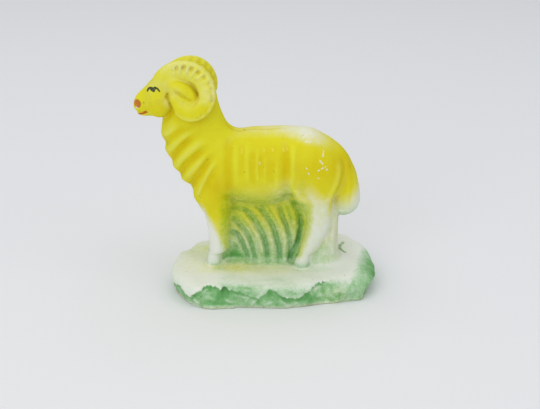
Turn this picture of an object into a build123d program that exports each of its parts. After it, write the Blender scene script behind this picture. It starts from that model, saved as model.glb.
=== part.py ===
"""Sheep figurine: a standing ram with curled horns on a rock plinth, in unglazed
bisque ceramic, cast in pieces that are luted together with slip and fired.

Millimetres. +Z is up, the ram looks along -X, its left side is -Y.
The origin is the centre of the flat underside of the bounding box.
"""

import os

from build123d import *

# ------------------------------------------------------------------ driving sizes
WALL = 3.2            # cast wall of the hollow torso
BASE_FLOOR = 3.0      # floor thickness under the plinth's hollow
BASE_ROOF_Z = 6.0     # top of the plinth's hollow
VENT_R = 3.5          # vent hole in the underside, lets slip out and kiln gas escape
CHANNEL_R = 1.6       # vent channel from torso hollow to plinth hollow
CHANNEL_X, VENT_X = 0.0, 0.0
PANEL_HALF_T = 3.6    # half thickness of the grass panel between the legs
FORELEG_Y = 6.3       # leg centre lines, left and right of the middle plane
HIND_LEG_Y = 6.8

# plinth outlines, (x, y), the same number of corners at each level
BASE_BOTTOM = [(-22.6, -24.6), (-8.0, -25.4), (8.0, -25.3), (20.0, -23.8), (36.0, -20.6), (40.0, -17.6),
               (40.5, -6.0), (40.0, 8.0), (36.0, 20.0), (28.0, 24.0), (8.0, 25.4), (-12.0, 24.6),
               (-23.0, 20.5), (-29.0, 9.0), (-31.5, -6.0), (-28.0, -17.0)]
BASE_RIM = [(-24.0, -26.0), (-8.5, -26.2), (8.0, -26.2), (20.5, -24.8), (37.6, -20.8), (42.6, -17.0),
            (46.1, -6.5), (45.4, 9.0), (40.6, 21.4), (31.0, 25.4), (8.0, 26.2), (-13.5, 25.4),
            (-25.0, 21.5), (-31.6, 9.5), (-34.0, -8.0), (-31.0, -17.5)]
BASE_RIM_Z = 5.0
BASE_TOP_Z, BASE_TOP_SHRINK = 8.6, 0.86

# torso: x, centre z, half height, half width
TORSO = [(-21.5, 47.2, 7.0, 6.0), (-14.0, 49.4, 12.0, 10.6), (-6.0, 49.8, 13.0, 12.0), (3.0, 50.0, 13.6, 12.5),
         (11.0, 50.1, 13.5, 12.8), (19.0, 49.3, 12.8, 12.8), (26.5, 46.8, 10.8, 11.4), (31.5, 44.8, 8.2, 8.8),
         (35.0, 43.0, 4.6, 5.0)]
# neck: (front x, front z), (back x, back z), half width
NECK = [((-24.4, 40.4), (-3.0, 57.5), 10.0), ((-27.9, 46.0), (-6.4, 61.6), 10.2), ((-32.6, 52.4), (-9.6, 64.0), 9.4),
        ((-34.6, 57.8), (-12.2, 66.6), 8.4), ((-35.4, 63.2), (-14.0, 70.4), 7.4), ((-35.0, 66.6), (-14.6, 74.4), 6.6)]
# head: x, centre z, half height, half width, from the back of the skull to the nose
HEAD = [(-18.5, 78.0, 4.6, 4.6), (-24.0, 77.8, 7.0, 6.6), (-30.0, 76.8, 8.0, 6.8), (-35.0, 75.3, 7.6, 6.1),
        (-39.2, 74.1, 6.4, 4.7), (-42.6, 72.9, 5.0, 3.6), (-45.0, 72.3, 3.2, 2.4), (-46.1, 72.1, 1.4, 1.2)]
# horn centre line on the left side: x, y, z, half width in the curl's plane, half width across it
HORN = [(-35.4, -3.6, 79.8, 3.0, 2.4), (-33.8, -3.9, 82.2, 3.6, 2.8), (-31.1, -4.1, 84.3, 4.0, 3.1),
        (-27.4, -4.4, 85.4, 4.2, 3.3), (-23.8, -5.0, 84.8, 4.1, 3.4), (-20.9, -6.0, 83.0, 3.8, 3.4),
        (-19.1, -7.3, 80.2, 3.5, 3.2), (-18.6, -8.4, 77.0, 3.2, 3.0), (-19.6, -9.2, 74.0, 3.0, 2.7),
        (-22.0, -9.8, 71.8, 2.8, 2.4), (-25.1, -10.1, 71.2, 2.6, 2.1), (-27.8, -10.1, 72.2, 2.2, 1.9),
        (-29.6, -9.8, 74.0, 1.6, 1.5), (-30.4, -9.4, 75.6, 0.9, 0.9)]
EAR_CENTRE, EAR_SIZE, EAR_TILT = (-26.9, -7.6, 77.6), (5.8, 3.2, 3.7), 26.0
# legs: centre x, z, half width along x, half width along y
FORELEG = [(-16.6, 50.0, 3.2, 3.0), (-17.4, 46.0, 6.0, 4.6), (-17.8, 42.0, 6.9, 5.2), (-17.8, 38.0, 6.5, 5.0), (-17.0, 34.0, 5.2, 4.4),
           (-16.1, 30.0, 4.2, 3.8), (-15.6, 24.0, 3.5, 3.2), (-15.5, 17.6, 3.0, 2.9), (-16.3, 13.8, 2.3, 2.5), (-17.0, 10.6, 2.5, 2.8),
           (-17.2, 6.5, 2.7, 2.9)]
HIND_LEG = [(21.5, 56.0, 3.2, 1.8), (21.4, 50.0, 8.2, 4.8), (20.9, 42.5, 8.5, 5.7), (21.2, 37.0, 7.2, 5.3), (22.4, 31.5, 5.1, 4.4),
            (22.7, 27.0, 4.5, 4.0), (21.6, 22.0, 4.0, 3.5), (19.6, 17.6, 3.2, 3.0), (17.7, 13.8, 2.4, 2.5), (16.8, 10.8, 2.7, 2.9),
            (16.6, 6.5, 2.9, 3.1)]
# tail: centre x, z, half width along x, half width along y
TAIL = [(29.4, 55.2, 0.9, 1.8), (32.2, 49.6, 2.4, 4.6), (33.6, 43.4, 4.2, 6.8), (33.6, 38.0, 5.4, 7.6),
        (33.6, 33.6, 5.2, 7.0), (33.4, 30.4, 3.8, 5.0), (33.2, 28.4, 1.6, 2.2)]
# grass panel outline in the x-z plane, and the clump behind the hind legs
PANEL = [(-18.0, 7.0), (-17.4, 20.0), (-18.4, 36.0), (-18.4, 42.0), (24.0, 42.0), (25.6, 34.0), (25.0, 24.0),
         (24.0, 7.0)]
# clump behind the hind legs: centre x, z, half width along x, half width along y
CLUMP = [(26.6, 40.0, 4.2, 4.8), (26.6, 33.0, 4.4, 5.2), (26.6, 27.0, 4.8, 5.6), (26.0, 21.0, 5.6, 6.2), (25.6, 16.0, 6.2, 6.9),
         (25.6, 12.0, 6.8, 7.8), (25.8, 6.5, 7.8, 8.8)]


# ------------------------------------------------------------------ helpers
def biggest(shape):
    """The largest solid of a cut, so that no crumb is kept."""
    return max(shape.solids(), key=lambda s: s.volume)


def level_ellipse(x, y, z, rx, ry):
    return Plane(origin=(x, y, z)) * Ellipse(rx, ry)


def x_section(x, z, half_height, half_width):
    """Ellipse square to X."""
    return Plane(origin=(x, 0, z), x_dir=(0, 1, 0), z_dir=(1, 0, 0)) * Ellipse(half_width, half_height)


def neck_section(front, back, half_width):
    (fx, fz), (bx, bz) = front, back
    length = ((bx - fx) ** 2 + (bz - fz) ** 2) ** 0.5
    along = ((bx - fx) / length, 0, (bz - fz) / length)
    up = (-along[2], 0, along[0])
    return Plane(origin=((fx + bx) / 2, 0, (fz + bz) / 2), x_dir=along, z_dir=up) * Ellipse(length / 2, half_width)


def polygon(points, z):
    return Plane(origin=(0, 0, z)) * make_face(Polyline(*points, close=True))


def mirrored(shape):
    return mirror(shape, about=Plane.XZ)


# ------------------------------------------------------------------ plinth
cx = sum(p[0] for p in BASE_RIM) / len(BASE_RIM)
top_outline = [(cx + (x - cx) * BASE_TOP_SHRINK, y * BASE_TOP_SHRINK) for x, y in BASE_RIM]
rock = loft([polygon(BASE_BOTTOM, 0), polygon(BASE_RIM, BASE_RIM_Z), polygon(top_outline, BASE_TOP_Z)], ruled=True)
hollow = [(cx + (x - cx) * 0.78, y * 0.74) for x, y in BASE_BOTTOM]
rock_base = rock - extrude(polygon(hollow, BASE_FLOOR), BASE_ROOF_Z - BASE_FLOOR)
rock_base -= Pos(VENT_X, 0, BASE_FLOOR / 2) * Cylinder(VENT_R, BASE_FLOOR * 1.5)
rock_base -= Pos(CHANNEL_X, 0, 8) * Cylinder(CHANNEL_R, 6)

# ------------------------------------------------------------------ torso, neck and head
torso_full = loft([x_section(*s) for s in TORSO])
core = loft([x_section(x, z, hh - WALL, hw - WALL) for x, z, hh, hw in TORSO[1:-1]])
neck_full = loft([neck_section(*s) for s in NECK])
head_full = loft([x_section(*s) for s in HEAD])

neck_above = neck_full - torso_full
channel = Pos(CHANNEL_X, 0, 38) * Cylinder(CHANNEL_R, 20)
torso = biggest(torso_full - core - channel)
neck = biggest(neck_above)
head_full = biggest(head_full - neck_full)

# ------------------------------------------------------------------ horns and ears
sections = []
for i, (x, y, z, r_in, r_across) in enumerate(HORN):
    a, b = HORN[max(i - 1, 0)], HORN[min(i + 1, len(HORN) - 1)]
    along = Vector(b[0] - a[0], b[1] - a[1], b[2] - a[2]).normalized()
    across = Vector(0, 1, 0) - along * along.Y
    sections.append(Plane(origin=(x, y, z), x_dir=across.normalized(), z_dir=along) * Ellipse(r_across, r_in))
horn_full = loft(sections)

ear_ball = Sphere(1.0)
ear_full = Pos(*EAR_CENTRE) * Rot(0, EAR_TILT, 0) * scale(ear_ball, by=EAR_SIZE)

left_horn = biggest(horn_full - head_full - neck_full - torso_full)
left_ear = biggest(ear_full - head_full - neck_full - horn_full)
head = biggest(head_full)

# ------------------------------------------------------------------ legs, tail and grass
fore_full = loft([level_ellipse(x, -FORELEG_Y, z, rx, ry) for x, z, rx, ry in FORELEG])
hind_full = loft([level_ellipse(x, -HIND_LEG_Y, z, rx, ry) for x, z, rx, ry in HIND_LEG])
tail_full = loft([level_ellipse(x, 0, z, rx, ry) for x, z, rx, ry in TAIL])
panel_face = Plane.XZ * make_face(Polyline(*PANEL, close=True))
panel_full = extrude(panel_face, PANEL_HALF_T, both=True)
clump_full = loft([level_ellipse(x, 0, z, rx, ry) for x, z, rx, ry in CLUMP])

solid_rock = rock
grass_panel = biggest(panel_full - torso_full - solid_rock - channel - neck_full)
left_foreleg = biggest(fore_full - torso_full - neck_full - panel_full - solid_rock)
left_hind_leg = biggest(hind_full - torso_full - panel_full - solid_rock)
grass_clump = biggest(clump_full - torso_full - solid_rock - panel_full - hind_full - mirrored(hind_full))
tail = biggest(tail_full - torso_full - clump_full - hind_full - mirrored(hind_full))

pieces = {
    "rock_base": biggest(rock_base),
    "torso": torso,
    "neck": neck,
    "head": head,
    "left_horn": left_horn,
    "right_horn": mirrored(left_horn),
    "left_ear": left_ear,
    "right_ear": mirrored(left_ear),
    "left_foreleg": left_foreleg,
    "right_foreleg": mirrored(left_foreleg),
    "left_hind_leg": left_hind_leg,
    "right_hind_leg": mirrored(left_hind_leg),
    "tail": tail,
    "grass_panel": grass_panel,
    "grass_clump": grass_clump,
}

os.makedirs("parts", exist_ok=True)
for name, shape in pieces.items():
    export_step(shape, f"parts/{name}.step")
    box = shape.bounding_box()
    print(f"{name:16s} {shape.volume / 1000:7.2f} cm3  x {box.min.X:6.1f} {box.max.X:6.1f}  y {box.min.Y:6.1f} {box.max.Y:6.1f}"
          f"  z {box.min.Z:6.1f} {box.max.Z:6.1f}")
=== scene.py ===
"""Sheep figurine: a bisque ram with curled horns on a rock plinth, airbrushed yellow and green.

The ram is sculpted as one continuous field in millimetres, so that its cast pieces meet without a
step, and is then parted into the same pieces as the frame. +Z is up, the ram looks along -X and its
left side is -Y.
"""

import math

import bpy
import numpy as np
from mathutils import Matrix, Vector


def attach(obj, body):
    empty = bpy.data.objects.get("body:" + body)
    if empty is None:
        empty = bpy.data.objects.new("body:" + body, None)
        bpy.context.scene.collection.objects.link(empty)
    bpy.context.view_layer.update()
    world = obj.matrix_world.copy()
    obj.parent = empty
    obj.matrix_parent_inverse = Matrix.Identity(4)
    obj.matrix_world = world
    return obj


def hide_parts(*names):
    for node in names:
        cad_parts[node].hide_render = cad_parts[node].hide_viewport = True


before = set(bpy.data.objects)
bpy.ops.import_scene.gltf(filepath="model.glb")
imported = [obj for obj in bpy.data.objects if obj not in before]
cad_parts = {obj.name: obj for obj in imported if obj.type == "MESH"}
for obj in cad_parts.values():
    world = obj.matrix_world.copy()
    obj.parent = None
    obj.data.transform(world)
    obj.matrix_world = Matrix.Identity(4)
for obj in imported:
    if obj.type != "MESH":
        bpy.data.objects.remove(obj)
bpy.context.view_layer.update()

F32 = np.float32
H = 0.36      # pitch of the sculpting grid, mm

# ------------------------------------------------------------------ grid
X = (-48.6 + H * np.arange(int(math.ceil(97.4 / H)) + 1)).astype(F32)
NA = int(math.ceil(28.4 / H))
Y = (H * np.arange(-NA, NA + 1)).astype(F32)
Z = (-1.5 + H * np.arange(int(math.ceil(94.4 / H)) + 1)).astype(F32)
NR = int(math.ceil(15.6 / H))
A = (H * np.arange(NR + 1)).astype(F32)          # distance from the middle plane
XX, AA, ZZ = X[:, None, None], A[None, :, None], Z[None, None, :]
X2, Z2 = X[:, None], Z[None, :]
BIG = F32(30.0)


def pchip(knots, t):
    """Smooth curve through (t, value) knots that doesn't overshoot."""
    k = np.asarray(knots, float)
    xs, ys = k[:, 0], k[:, 1]
    if xs[0] > xs[-1]:
        xs, ys = xs[::-1], ys[::-1]
    h = np.diff(xs)
    d = np.diff(ys) / h
    m = np.empty_like(ys)
    m[0], m[-1] = d[0], d[-1]
    same = d[:-1] * d[1:] > 0
    m[1:-1] = np.where(same, 2 * d[:-1] * d[1:] / np.where(same, d[:-1] + d[1:], 1), 0)
    i = np.clip(np.searchsorted(xs, t) - 1, 0, len(xs) - 2)
    u = np.clip((t - xs[i]) / h[i], 0, 1)
    a, b = ys[i], ys[i + 1]
    return ((1 + 2 * u) * (1 - u) ** 2 * a + u * (1 - u) ** 2 * h[i] * m[i]
            + u * u * (3 - 2 * u) * b + u * u * (u - 1) * h[i] * m[i + 1]).astype(F32)


def ell(dx, dy, rx, ry):
    """Near-distance to an ellipse."""
    p, q = dx / rx, dy / ry
    k0 = np.sqrt(p * p + q * q)
    k1 = np.sqrt((p / rx) ** 2 + (q / ry) ** 2) + 1e-4
    return k0 * (k0 - 1) / k1


def ellipsoid(cx, ca, cz, rx, ra, rz, tilt=0.0):
    """Near-distance to an ellipsoid, tilted in the x-z plane."""
    c, s = math.cos(math.radians(tilt)), math.sin(math.radians(tilt))
    dx, dz = XX - cx, ZZ - cz
    p, r, q = (dx * c + dz * s) / rx, (-dx * s + dz * c) / rz, (AA - ca) / ra
    k0 = np.sqrt(p * p + q * q + r * r)
    k1 = np.sqrt((p / rx) ** 2 + (q / ra) ** 2 + (r / rz) ** 2) + 1e-4
    return (k0 * (k0 - 1) / k1).astype(F32)


def smin(a, b, k):
    h = np.maximum(k - np.abs(a - b), 0) / k
    return np.minimum(a, b) - h * h * k * 0.25


def smax(a, b, k):
    return -smin(-a, -b, k)


def step(e0, e1, v):
    t = np.clip((v - e0) / (e1 - e0), 0, 1)
    return t * t * (3 - 2 * t)


def catmull(pts, n=8, closed=False):
    """Points along a smooth curve through pts."""
    p = np.asarray(pts, float)
    out = []
    m = len(p)
    for i in range(m if closed else m - 1):
        if closed:
            p0, p1, p2, p3 = p[i - 1], p[i], p[(i + 1) % m], p[(i + 2) % m]
        else:
            p0, p1, p2, p3 = p[max(i - 1, 0)], p[i], p[i + 1], p[min(i + 2, m - 1)]
        for u in np.arange(n) / n:
            out.append(0.5 * (2 * p1 + (p2 - p0) * u + (2 * p0 - 5 * p1 + 4 * p2 - p3) * u * u
                              + (3 * p1 - p0 - 3 * p2 + p3) * u ** 3))
    if not closed:
        out.append(p[-1])
    return np.array(out)


def line_dist(px, pz, pts, closed=False):
    """Distance to a polyline and the share of its length at the nearest point."""
    pts = np.asarray(pts, float)
    if closed:
        pts = np.vstack([pts, pts[:1]])
    seg = np.diff(pts, axis=0)
    ln = np.hypot(seg[:, 0], seg[:, 1])
    run = np.concatenate([[0], np.cumsum(ln)])
    best = np.full(np.broadcast(px, pz).shape, 1e9, F32)
    where = np.zeros_like(best)
    for (ax, az), (sx, sz), l, r in zip(pts[:-1], seg, ln, run[:-1]):
        u = np.clip(((px - ax) * sx + (pz - az) * sz) / max(l * l, 1e-9), 0, 1)
        d = (px - ax - u * sx) ** 2 + (pz - az - u * sz) ** 2
        near = d < best
        best = np.where(near, d, best)
        where = np.where(near, (r + u * l) / run[-1], where)
    return np.sqrt(best).astype(F32), where.astype(F32)


def stroke(relief, pts, height, width, taper=0.22, ends="both"):
    """Raises or cuts a soft stroke in a relief map over x and z."""
    p = catmull(pts, 6)
    lo, hi = p.min(0) - 3 * width, p.max(0) + 3 * width
    i0, i1 = np.searchsorted(X, lo[0]), np.searchsorted(X, hi[0])
    k0, k1 = np.searchsorted(Z, lo[1]), np.searchsorted(Z, hi[1])
    if i1 <= i0 or k1 <= k0:
        return
    d, t = line_dist(X2[i0:i1], Z2[:, k0:k1], p)
    w = np.ones_like(t)
    if ends in ("both", "start"):
        w = w * step(0, taper, t)
    if ends in ("both", "end"):
        w = w * step(0, taper, 1 - t)
    relief[i0:i1, k0:k1] += height * w * np.exp(-(d / width) ** 2)


def relief_map():
    return np.zeros((len(X), len(Z)), F32)


def loft_z(rows):
    """Body of level ellipses. rows: z, centre x, half width x, half width y, centre distance from the middle."""
    r = np.asarray(rows, float)
    f = [pchip(r[:, (0, c)], Z)[None, None, :] for c in range(1, 5)]
    d = ell(XX - f[0], AA - f[3], f[1], f[2])
    return np.maximum(d, np.maximum(r[:, 0].min() - ZZ, ZZ - r[:, 0].max())).astype(F32)


def loft_x(rows, power=2.0):
    """Body of upright ellipses. rows: x, centre z, half height, half width."""
    r = np.asarray(rows, float)
    f = [pchip(r[:, (0, c)], X)[:, None, None] for c in range(1, 4)]
    if power == 2.0:
        d = ell(AA, ZZ - f[0], f[2], f[1])
    else:
        p, q = AA / f[2], np.abs(ZZ - f[0]) / f[1]
        k = (p ** power + q ** power) ** (1 / power)
        d = (k - 1) * np.minimum(f[1], f[2])
    return np.maximum(d, np.maximum(r[:, 0].min() - XX, XX - r[:, 0].max())).astype(F32)


# ------------------------------------------------------------------ body: torso, neck, legs
TORSO = [(-21.0, 47.2, 6.5, 5.6), (-14.0, 48.9, 12.3, 10.3), (-6.0, 48.4, 14.0, 11.8), (1.0, 48.2, 14.9, 12.3), (6.0, 48.4, 14.8, 12.5),
         (11.0, 49.3, 13.9, 12.6), (19.0, 49.5, 13.2, 12.5), (25.5, 48.0, 11.8, 11.0), (30.5, 46.2, 9.2, 8.6), (34.0, 44.8, 5.6, 5.0)]
# neck: z, front x, back x, half width
NECK = [(37.5, -24.2, -4.0, 7.8), (40.6, -26.4, -2.0, 9.2), (43.2, -28.9, -1.0, 10.2), (46.0, -30.9, -1.0, 10.5),
        (48.8, -32.3, -2.0, 10.4), (51.2, -33.5, -3.0, 10.1), (55.0, -34.8, -4.6, 9.5), (57.6, -35.3, -6.0, 9.1),
        (60.0, -35.9, -7.6, 8.8), (62.3, -36.1, -9.6, 8.4), (65.0, -35.9, -11.5, 7.8), (67.5, -35.4, -12.8, 7.2),
        (70.0, -34.2, -13.8, 6.8), (73.0, -33.0, -14.7, 6.4), (76.5, -31.0, -15.4, 5.6)]
FORELEG = [(52.0, -16.0, 3.4, 2.0, 6.2), (46.5, -17.4, 6.4, 4.6, 6.2), (42.0, -17.8, 7.0, 5.2, 6.2), (38.0, -17.8, 6.6, 5.0, 6.2),
           (34.2, -17.0, 5.3, 4.4, 6.3), (30.0, -16.0, 4.2, 3.8, 6.3), (24.0, -15.5, 3.5, 3.2, 6.3), (18.9, -15.3, 3.1, 2.9, 6.3),
           (17.0, -15.2, 3.15, 3.0, 6.3), (15.7, -15.4, 3.0, 3.0, 6.3), (14.4, -16.7, 1.95, 2.35, 6.3), (12.8, -17.1, 2.25, 2.6, 6.4),
           (10.4, -17.3, 2.5, 2.85, 6.4), (6.0, -17.3, 2.6, 2.9, 6.4)]
HINDLEG = [(52.0, 21.6, 6.0, 2.6, 6.6), (46.0, 21.2, 8.6, 5.2, 6.8), (41.0, 20.8, 8.4, 5.7, 6.8), (38.0, 20.9, 7.6, 5.4, 6.8),
           (35.0, 21.9, 6.2, 4.9, 6.8), (31.5, 22.6, 5.1, 4.4, 6.8), (28.0, 22.9, 4.6, 4.1, 6.8), (24.0, 22.3, 4.4, 3.8, 6.8),
           (18.6, 20.1, 3.5, 3.1, 6.9), (15.4, 18.6, 2.8, 2.7, 7.1), (14.0, 17.7, 2.25, 2.4, 7.3), (12.4, 17.0, 2.5, 2.75, 7.5),
           (10.4, 16.6, 2.75, 2.95, 7.6), (5.5, 16.6, 2.8, 3.0, 7.6)]

torso = smin(loft_x(TORSO), ellipsoid(24.0, 0, 45.2, 10.8, 11.2, 11.4), 2.0)
neck = loft_z([(z, (f + b) / 2, (b - f) / 2, w, 0.0) for z, f, b, w in NECK])
foreleg = loft_z(FORELEG)
hindleg = loft_z(HINDLEG)
hindleg = smin(hindleg, ellipsoid(21.2, 6.9, 46.5, 8.9, 6.3, 11.5, 4), 2.0)

body_relief, neck_relief = relief_map(), relief_map()
# wool folds of the neck and chest: furrows, then the rolls between them
for pts, height, width in [
    ([(-37.5, 55.4), (-34.7, 57.8), (-32.3, 60.6), (-30.3, 62.5), (-28.4, 64.0), (-26.1, 65.2), (-23.5, 65.8)], -0.8, 1.15),
    ([(-35.5, 46.6), (-32.6, 50.8), (-30.2, 55.4), (-27.8, 58.4), (-25.5, 60.5), (-23.2, 62.2), (-20.6, 63.6)], -1.15, 1.25),
    ([(-32.5, 42.0), (-29.7, 45.6), (-26.9, 50.8), (-24.5, 53.3), (-21.9, 55.5), (-19.6, 57.4), (-17.0, 59.8)], -1.3, 1.35),
    ([(-28.0, 37.6), (-25.8, 40.8), (-23.2, 46.0), (-21.2, 48.7), (-19.3, 51.6), (-17.8, 54.0), (-15.4, 57.0)], -1.05, 1.25),
    ([(-21.6, 39.4), (-20.5, 41.9), (-18.7, 45.2), (-17.2, 47.8), (-15.6, 50.3), (-13.8, 53.1)], -0.5, 1.2),
    ([(-38.5, 59.4), (-36.5, 60.8), (-33.8, 62.6), (-31.4, 65.0), (-29.1, 66.7)], 0.5, 1.5),
    ([(-37.2, 52.0), (-35.0, 54.6), (-32.1, 57.0), (-29.6, 59.5), (-27.3, 61.7), (-25.0, 63.3), (-22.0, 64.6)], 0.55, 1.35),
    ([(-34.5, 45.4), (-32.3, 48.5), (-29.1, 52.4), (-26.7, 55.0), (-24.4, 57.1), (-21.8, 59.2), (-19.0, 61.4)], 0.65, 1.4),
    ([(-31.2, 40.0), (-29.1, 43.2), (-26.3, 47.0), (-23.9, 50.0), (-21.5, 52.7), (-19.6, 55.0), (-17.2, 57.6)], 0.6, 1.25),
    ([(-22.5, 40.0), (-20.6, 44.2), (-19.4, 47.0), (-18.3, 49.0), (-16.7, 51.4), (-14.6, 54.8)], 0.65, 0.95),
]:
    stroke(neck_relief, pts, height, width, 0.3, "end")
# shoulder line, flank ribs, thigh edge and the furrow before the tail
for pts, height, width in [
    ([(-10.4, 62.0), (-11.0, 57.9), (-11.1, 54.0), (-11.1, 50.1), (-10.8, 45.4), (-10.3, 39.0)], -0.8, 1.6),
    ([(-8.3, 60.0), (-8.6, 50.0), (-8.4, 40.0)], 0.45, 1.5),
    ([(-6.0, 59.6), (-6.3, 53.0), (-6.0, 45.4)], -0.42, 0.9),
    ([(-4.0, 60.4), (-4.3, 53.0), (-3.9, 43.6)], 0.42, 1.0),
    ([(-1.9, 58.2), (-2.2, 51.0), (-1.9, 42.2)], -0.5, 0.85),
    ([(-0.1, 58.8), (-0.4, 51.0), (-0.1, 43.2)], 0.42, 0.85),
    ([(1.2, 56.2), (0.9, 51.0), (1.1, 45.6)], -0.3, 0.65),
    ([(2.7, 55.4), (2.4, 48.0), (2.6, 42.2)], 0.36, 0.75),
    ([(4.8, 54.6), (4.6, 49.0), (4.8, 42.6)], -0.34, 1.0),
    ([(7.2, 54.2), (6.9, 47.0), (7.1, 41.6)], 0.42, 0.85),
    ([(10.4, 60.0), (10.4, 52.0), (10.1, 46.0), (10.4, 39.5)], -0.85, 1.5),
    ([(12.9, 61.0), (12.9, 54.0), (12.9, 48.0), (12.5, 45.0), (12.8, 42.2), (14.3, 39.4), (16.2, 37.0), (18.4, 34.6)], 0.85, 1.3),
    ([(30.0, 53.6), (30.6, 48.9), (29.6, 44.5), (28.2, 41.0), (26.8, 37.4), (26.2, 34.0)], 0.6, 1.2),
    ([(-13.0, 37.0), (-11.8, 38.4), (-9.8, 37.8), (-8.0, 36.8)], -0.55, 1.4),
    ([(8.6, 37.4), (10.4, 38.4), (12.0, 38.8), (13.4, 37.6)], -0.6, 1.4),
]:
    stroke(body_relief, pts, height, width)

# fields by piece, to part the sculpture later
PIECES = ["rock_base", "torso", "neck", "head", "horn", "ear", "foreleg", "hind_leg", "tail", "grass_panel", "grass_clump"]
territory = {"torso": torso, "neck": neck + 0.3, "foreleg": foreleg, "hind_leg": hindleg}

body = smin(torso, neck, 4.0)
body = smin(body, foreleg, 2.4)
body = smin(body, hindleg, 2.0)
body = body - body_relief[:, None, :] - neck_relief[:, None, :] * (0.62 + 0.38 * step(2.0, 6.5, AA))

# ------------------------------------------------------------------ tail
TAIL = [(58.4, 26.4, 1.5, 2.6, 0.0), (55.0, 29.6, 2.4, 4.2, 0.0), (50.4, 32.0, 3.2, 5.6, 0.0), (44.0, 33.6, 4.2, 7.0, 0.0),
        (38.0, 33.7, 5.4, 7.6, 0.0), (34.6, 33.7, 5.6, 7.4, 0.0), (31.6, 33.6, 4.9, 6.4, 0.0), (29.4, 33.2, 3.4, 4.4, 0.0), (28.2, 33.0, 1.5, 2.2, 0.0)]
tail = loft_z(TAIL)
tail_relief = relief_map()
for pts, height, width in [
    ([(34.0, 51.5), (35.2, 46.0), (35.4, 40.0), (34.4, 33.0)], -0.35, 0.9),
    ([(32.6, 46.0), (32.6, 41.0), (31.8, 36.0), (30.6, 31.5)], -0.3, 0.9),
]:
    stroke(tail_relief, pts, height, width)
territory["tail"] = tail + 0.2
body = smin(body, tail - tail_relief[:, None, :], 0.9)
furrow = relief_map()
stroke(furrow, [(30.6, 55.0), (31.9, 50.5), (32.0, 47.8), (31.0, 43.8), (29.6, 40.2), (28.2, 36.6), (27.4, 32.0)], -0.7, 0.9)
body = body - furrow[:, None, :] * step(2.0, 4.5, AA)

# ------------------------------------------------------------------ grass between the legs and behind them
panel = np.maximum(np.maximum(-17.5 - XX, XX - 26.0), np.maximum(6.0 - ZZ, ZZ - 44.0))
half = 2.9 + 0.9 * step(30.0, 18.0, ZZ) + 1.0 * step(15.0, 9.0, ZZ) + 2.6 * step(-7.0, -13.0, XX) * step(13.0, 20.0, ZZ) + 0.9 * step(8.0, 13.0, XX) * step(13.0, 20.0, ZZ)
panel = smax(panel, AA - half, 1.0).astype(F32)
GRASS = {
    "a": [(16.2, 29.6), (16.5, 27.0), (16.4, 24.4), (15.7, 20.6), (15.0, 17.3), (13.5, 13.5), (12.2, 10.4)],
    "g": [(10.4, 37.2), (12.2, 36.0), (13.9, 33.8), (15.3, 31.2), (16.2, 28.4), (16.5, 25.6)],
    "b": [(7.4, 34.2), (7.9, 32.7), (8.7, 30.2), (9.5, 27.3), (10.7, 24.8), (11.5, 21.9), (12.3, 18.6), (12.5, 15.2), (12.2, 11.0)],
    "c": [(1.1, 34.6), (1.4, 31.1), (3.0, 28.6), (4.1, 26.5), (5.7, 24.0), (6.4, 21.5), (7.2, 18.6), (8.0, 15.2), (8.4, 10.5), (8.4, 8.4)],
    "d": [(-7.8, 31.6), (-5.9, 31.1), (-4.3, 30.3), (-2.8, 28.6), (-0.9, 25.7), (0.6, 22.8), (1.8, 20.7), (2.6, 17.8), (3.3, 14.4), (3.7, 9.7), (3.7, 8.4)],
    "e": [(-11.4, 29.4), (-9.3, 27.4), (-7.8, 25.6), (-5.9, 23.3), (-4.0, 20.3), (-2.9, 17.4), (-2.1, 14.4), (-1.4, 10.6), (-1.3, 9.0)],
    "f": [(-12.4, 22.6), (-10.6, 22.5), (-9.0, 21.8), (-7.9, 20.8), (-6.7, 18.7), (-5.6, 16.1), (-4.5, 12.8), (-4.2, 10.0)],
}
grass_relief = relief_map()
for name, height, width in [("a", -1.7, 0.75), ("g", -1.0, 1.1), ("b", -1.1, 0.75), ("c", -1.55, 0.9), ("d", -1.5, 0.9), ("e", -1.25, 0.8), ("f", -1.3, 0.85)]:
    stroke(grass_relief, GRASS[name], height, width, 0.45 if name == "a" else 0.14, "start")
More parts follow.
